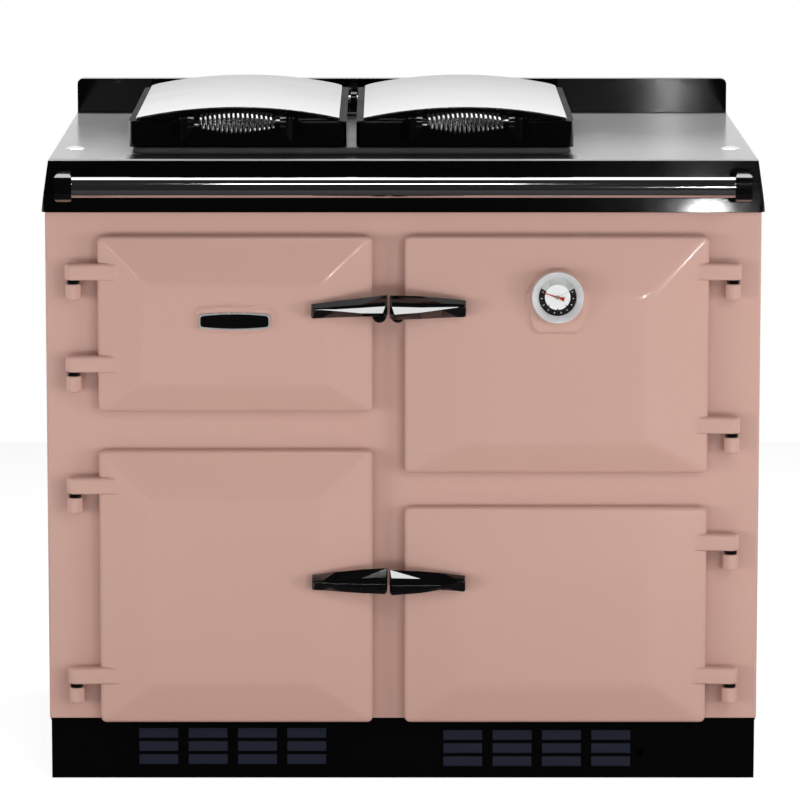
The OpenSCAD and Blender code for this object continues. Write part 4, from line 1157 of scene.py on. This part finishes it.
class Gauge(SubAssembly):
    """The oven gauge and the bare badge."""

    title = "gauge and badge"
    centre = (209.5 * MM, 684.5 * MM)
    case_profile = ((-335.0, 28.0), (-350.0, 28.0), (-350.05, 35.4), (-355.6, 35.4), (-357.9, 35.1),
                    (-358.7, 34.5), (-358.9, 33.8), (-358.6, 33.2), (-356.7, 30.6), (-354.8, 27.9),
                    (-353.8, 26.4), (-352.0, 26.3))
    glass_profile = ((-355.1, 28.2), (-355.8, 29.0))
    badge_centre = (-229.5, 651.0)
    dial_radius = 26.1
    dial_back = -352.0
    dial_front = -352.8
    band = (17.3, 25.6)
    band_angles = (151.0, 389.0)
    notch_angles = (225.0, 270.0, 315.0)
    badge_field_front = -350.6 * MM
    hub_reach = 2.7 * MM
    hub_back = -354.4 * MM

    def build(self) -> None:
        """Models the turned case with its dished bezel, the printed dial and the glass."""
        case, glass = (turned(name, *self.centre, [(y * MM, r * MM) for y, r in profile], 96)
                       for name, profile in (("gauge_case_turned", self.case_profile),
                                             ("gauge_glass_disc", self.glass_profile)))
        self.palette.paint(case, Coat.BEZEL)
        smooth(case, 40.0)
        swap(case, "gauge_case")
        glass.data.materials.append(self.palette.glass)
        swap(glass, "gauge_glass")
        dial = self._dial()
        swap(dial, "gauge_dial")
        badge = self._badge()
        swap(badge, "name_badge")
        log.info("%s: case, dial, glass and badge modelled", self.title)

    def _badge(self) -> bpy.types.Object:
        """Models the bare badge: a barrel outline with a raised bright rim round a black field.

        Returns:
            The badge.
        """
        profile = [(0.0, -348.0), (0.0, -350.3), (0.6, -351.0), (1.7, -351.0), (2.2, -350.3)]
        badge = lofted("name_badge_bare", [[(x * MM, y * MM, z * MM) for x, z in self._barrel(inset)]
                                           for inset, y in profile])
        self.palette.paint(badge, Coat.BADGE_RIM)
        self.palette.pick_out(badge, Coat.BADGE_BLACK, lambda face: (
            face.normal.y < -0.9 and face.center.y > self.badge_field_front))
        smooth(badge, 30.0)
        return badge

    def _barrel(self, inset: float) -> list[tuple[float, float]]:
        """Corners of the badge's outline, bowed above and below and rounded at its ends, in millimetres."""
        (x0, z0), half, high, bow, corner = self.badge_centre, 48.5 - inset, 12.0 - inset, 2.7, 4.2
        bowed = [(half - corner) * k / 10 for k in range(11)]
        quarter = [(x, high - bow * (x / half) ** 2) for x in bowed]
        end_z = quarter[-1][1]
        quarter += [(half - corner * (1 - math.sin(a)), end_z - corner * (1 - math.cos(a)))
                    for a in (math.pi / 2 * k / 6 for k in range(1, 7))]
        right = quarter + [(x, -z) for x, z in reversed(quarter)]
        left = [(-x, z) for x, z in reversed(right[1:-1])]
        return [(x0 + x, z0 + z) for x, z in right + left]

    def _dial(self) -> bpy.types.Object:
        """Models the dial with its printed band, notches, ticks and line.

        Returns:
            The dial.
        """
        start, end = self.band_angles
        inner, outer = self.band
        face = self._printed("gauge_dial_face", self._circle(self.dial_radius), self.dial_back,
                             self.dial_front, Coat.DIAL_WHITE)
        marks = [(self._sector(inner, outer, start, end), 0.06, Coat.DIAL_INK),
                 (self._sector(inner, outer, end - 360.0, start), 0.06, Coat.DIAL_GREY),
                 (self._spoke(2.0, inner, end, 0.28), 0.06, Coat.DIAL_GREY)]
        marks += [(self._sector(inner - 1.9, inner + 0.2, a - 2.4, a + 2.4), 0.06, Coat.DIAL_INK)
                  for a in self.notch_angles]
        marks += [(self._spoke(20.4, 22.6, 160.0 + 24.5 * k, 0.42), 0.1, Coat.DIAL_WHITE) for k in range(10)]
        front = self.dial_front
        pieces = [face] + [self._printed(f"gauge_mark_{k}", outline, front, front - rise, coat)
                           for k, (outline, rise, coat) in enumerate(marks)]
        return join("gauge_dial_printed", pieces)

    def _printed(self, name: str, outline: Sequence[tuple[float, float]], back: float, front: float,
                 coat: Coat) -> bpy.types.Object:
        """Models one painted plate of the dial, its sizes in millimetres."""
        piece = plate(name, [(x * MM, z * MM) for x, z in outline], back * MM, front * MM)
        self.palette.paint(piece, coat)
        return piece

    def _circle(self, radius: float) -> list[tuple[float, float]]:
        """Corners of a disc about the gauge's centre, in millimetres."""
        x, z = self.centre[0] / MM, self.centre[1] / MM
        return [(x + radius * math.cos(2 * math.pi * k / 96), z + radius * math.sin(2 * math.pi * k / 96))
                for k in range(96)]

    def _sector(self, inner: float, outer: float, start: float, end: float) -> list[tuple[float, float]]:
        """Corners of a part of a ring about the gauge's centre, in millimetres."""
        return ring_sector((self.centre[0] / MM, self.centre[1] / MM), inner, outer, start, end)

    def _spoke(self, inner: float, outer: float, angle: float, half: float) -> list[tuple[float, float]]:
        """Corners of a short radial line, in millimetres."""
        x, z = self.centre[0] / MM, self.centre[1] / MM
        c, s = math.cos(math.radians(angle)), math.sin(math.radians(angle))
        return [(x + r * c - w * s, z + r * s + w * c)
                for r, w in ((inner, -half), (outer, -half), (outer, half), (inner, half))]

    def dress(self) -> None:
        """Gives the needle its red and its hub."""
        self.coat(Coat.NEEDLE_RED, "gauge_needle")
        x, z = self.centre
        self.palette.pick_out(cad("gauge_needle"), Coat.HUB, lambda face: (
            math.hypot(face.center.x - x, face.center.z - z) < self.hub_reach
            and face.center.y < self.hub_back))


# ---------------------------------------------------------------- studio


@dataclass(frozen=True)
class Lamp:
    """A soft area lamp."""

    name: str
    place: Point
    target: Point
    width: float
    height: float
    watts: float
    mirrored: bool = True

    def build(self) -> bpy.types.Object:
        """Hangs the lamp.

        Returns:
            The lamp.
        """
        data = bpy.data.lights.new(self.name, "AREA")
        data.shape = "RECTANGLE"
        data.size, data.size_y, data.energy = self.width, self.height, self.watts
        lamp = bpy.data.objects.new(self.name, data)
        lamp.location = self.place
        lamp.visible_glossy = self.mirrored
        aim = Vector(self.target) - Vector(self.place)
        lamp.rotation_euler = aim.to_track_quat("-Z", "Y").to_euler()
        bpy.context.scene.collection.objects.link(lamp)
        return lamp


class Studio:
    """The floor, the white surround, the lamps and the camera."""

    camera_place: Point = (-0.0223, -6.716, 1.6052)
    camera_tilt = 8.313
    lens = 213.19
    shift_x = 0.0164
    shift_y = -0.12
    lamps = (
        Lamp("key_upper_right", (1.9, -3.0, 2.2), (0.0, -0.3, 0.45), 0.8, 0.8, 21.0, mirrored=False),
        Lamp("low_right", (1.3, -2.4, 0.1), (0.0, -0.3, 0.45), 1.15, 0.5, 8.5, mirrored=False),
        Lamp("low_left", (-1.3, -2.4, 0.1), (0.0, -0.3, 0.45), 1.15, 0.5, 8.5, mirrored=False),
        Lamp("low_front", (0.0, -3.2, 0.0), (0.0, -0.3, 0.3), 2.0, 0.6, 5.5, mirrored=False),
        Lamp("glint_near", (0.585, -2.83, 1.155), (-0.05, -0.33, 0.75), 0.045, 0.045, 1.3),
        Lamp("glint_far", (1.158, -2.83, 0.954), (0.4, -0.33, 0.75), 0.05, 0.05, 1.8),
        Lamp("glint_left", (-1.3, -2.83, 1.163), (-0.4, -0.33, 0.75), 0.06, 0.06, 0.8),
        Lamp("side_right", (3.1, -1.9, 0.6), (0.0, -0.3, 0.45), 1.2, 1.2, 42.0, mirrored=False),
        Lamp("side_left", (-3.1, -1.9, 0.6), (0.0, -0.3, 0.45), 1.2, 1.2, 42.0, mirrored=False),
        Lamp("front_top", (-0.06, -2.55, 3.0), (-0.06, -0.36, 0.5), 0.6, 0.34, 4.0),
        Lamp("front_fill", (0.0, -2.55, 3.0), (0.0, -0.36, 0.5), 0.95, 0.34, 3.0, mirrored=False),
        Lamp("overhead_back", (0.0, 0.8, 2.7), (0.0, 0.0, 0.85), 3.0, 0.6, 20.0),
    )

    def build(self) -> None:
        """Sets the studio up."""
        floor = self._floor()
        pieces = [floor, *(lamp.build() for lamp in self.lamps), self._camera()]
        self._surround()
        scene = bpy.context.scene
        scene.view_settings.view_transform = "Standard"
        log.info("studio: %d pieces", len(pieces))

    @staticmethod
    def _floor() -> bpy.types.Object:
        """Lays the pale floor.

        Returns:
            The floor.
        """
        bpy.ops.object.select_all(action="DESELECT")
        bpy.ops.mesh.primitive_plane_add(size=4.4, location=(0.0, 0.2, 0.0))
        floor = bpy.context.active_object
        floor.name = "studio_floor"
        material, wiring = new_material("studio_floor")
        nodes = wiring.tree.nodes
        rays = wiring.add("LightPath").outputs
        lift = wiring.calculate("MULTIPLY", rays["Is Camera Ray"], 0.78)
        wiring.feed(nodes["Principled BSDF"], {
            "Base Color": (0.86, 0.86, 0.86, 1.0), "Roughness": 0.9, "Specular IOR Level": 0.0,
            "Emission Color": WHITE, "Emission Strength": lift})
        # polished metal sees a dim floor, as in a darkened room
        dim = wiring.add("BsdfDiffuse", {"Color": (0.1, 0.1, 0.1, 1.0)})
        mixed = wiring.mix(rays["Is Glossy Ray"], nodes["Principled BSDF"], dim)
        wiring.feed(nodes["Material Output"], {"Surface": mixed.outputs[0]})
        floor.data.materials.append(material)
        return floor

    def _camera(self) -> bpy.types.Object:
        """Places a camera near the photograph's, tilted so that other views keep the cooker in frame.

        Returns:
            The camera.
        """
        data = bpy.data.cameras.new("studio_camera")
        data.lens, data.sensor_width = self.lens, 36.0
        data.shift_x, data.shift_y = self.shift_x, self.shift_y
        camera = bpy.data.objects.new("studio_camera", data)
        camera.location = self.camera_place
        camera.rotation_euler = (math.radians(90.0 - self.camera_tilt), 0.0, 0.0)
        bpy.context.scene.collection.objects.link(camera)
        bpy.context.scene.camera = camera
        return camera

    @staticmethod
    def _surround() -> None:
        """Makes the background white and the light around the object soft and grey."""
        world = bpy.data.worlds.new("studio_surround")
        bpy.context.scene.world = world
        world.use_nodes = True
        wiring = Wiring(world.node_tree)
        wiring.tree.nodes.clear()
        rays = wiring.add("LightPath").outputs
        # the white backdrop stands behind the cooker; the room in front of it is dim
        depth = wiring.add("SeparateXYZ", {0: wiring.add("TexCoord").outputs["Generated"]}).outputs["Y"]
        behind = wiring.add("MapRange", {"Value": depth, "From Min": 0.02, "From Max": 0.3, "To Min": 0.02,
                                         "To Max": 1.0}).outputs["Result"]
        backdrop, soft, room = (wiring.add("Background", {"Color": WHITE, "Strength": strength})
                                for strength in (1.0, 0.06, behind))
        seen = wiring.mix(rays["Is Glossy Ray"], soft, room)
        either = wiring.calculate("MAXIMUM", rays["Is Camera Ray"], rays["Is Transmission Ray"])
        wiring.add("OutputWorld", {"Surface": wiring.mix(either, seen, backdrop).outputs[0]})


# ---------------------------------------------------------------- the whole cooker


class RangeCooker:
    """The whole cooker."""

    def __init__(self) -> None:
        """Makes the palette and the sub-assemblies."""
        palette = Palette()
        kinds = (Casing, Inside, HandRail, Hotplate, Lids, Doors, Gauge)
        self.assemblies = [kind(palette) for kind in kinds]

    def build(self) -> None:
        """Models and dresses each sub-assembly in turn."""
        for assembly in self.assemblies:
            assembly.build()
            assembly.dress()


def main() -> None:
    """Builds the cooker's looks and the studio."""
    logging.basicConfig(level=logging.INFO, format="%(name)s %(message)s")
    RangeCooker().build()
    Studio().build()


if __name__ == "__main__":
    main()
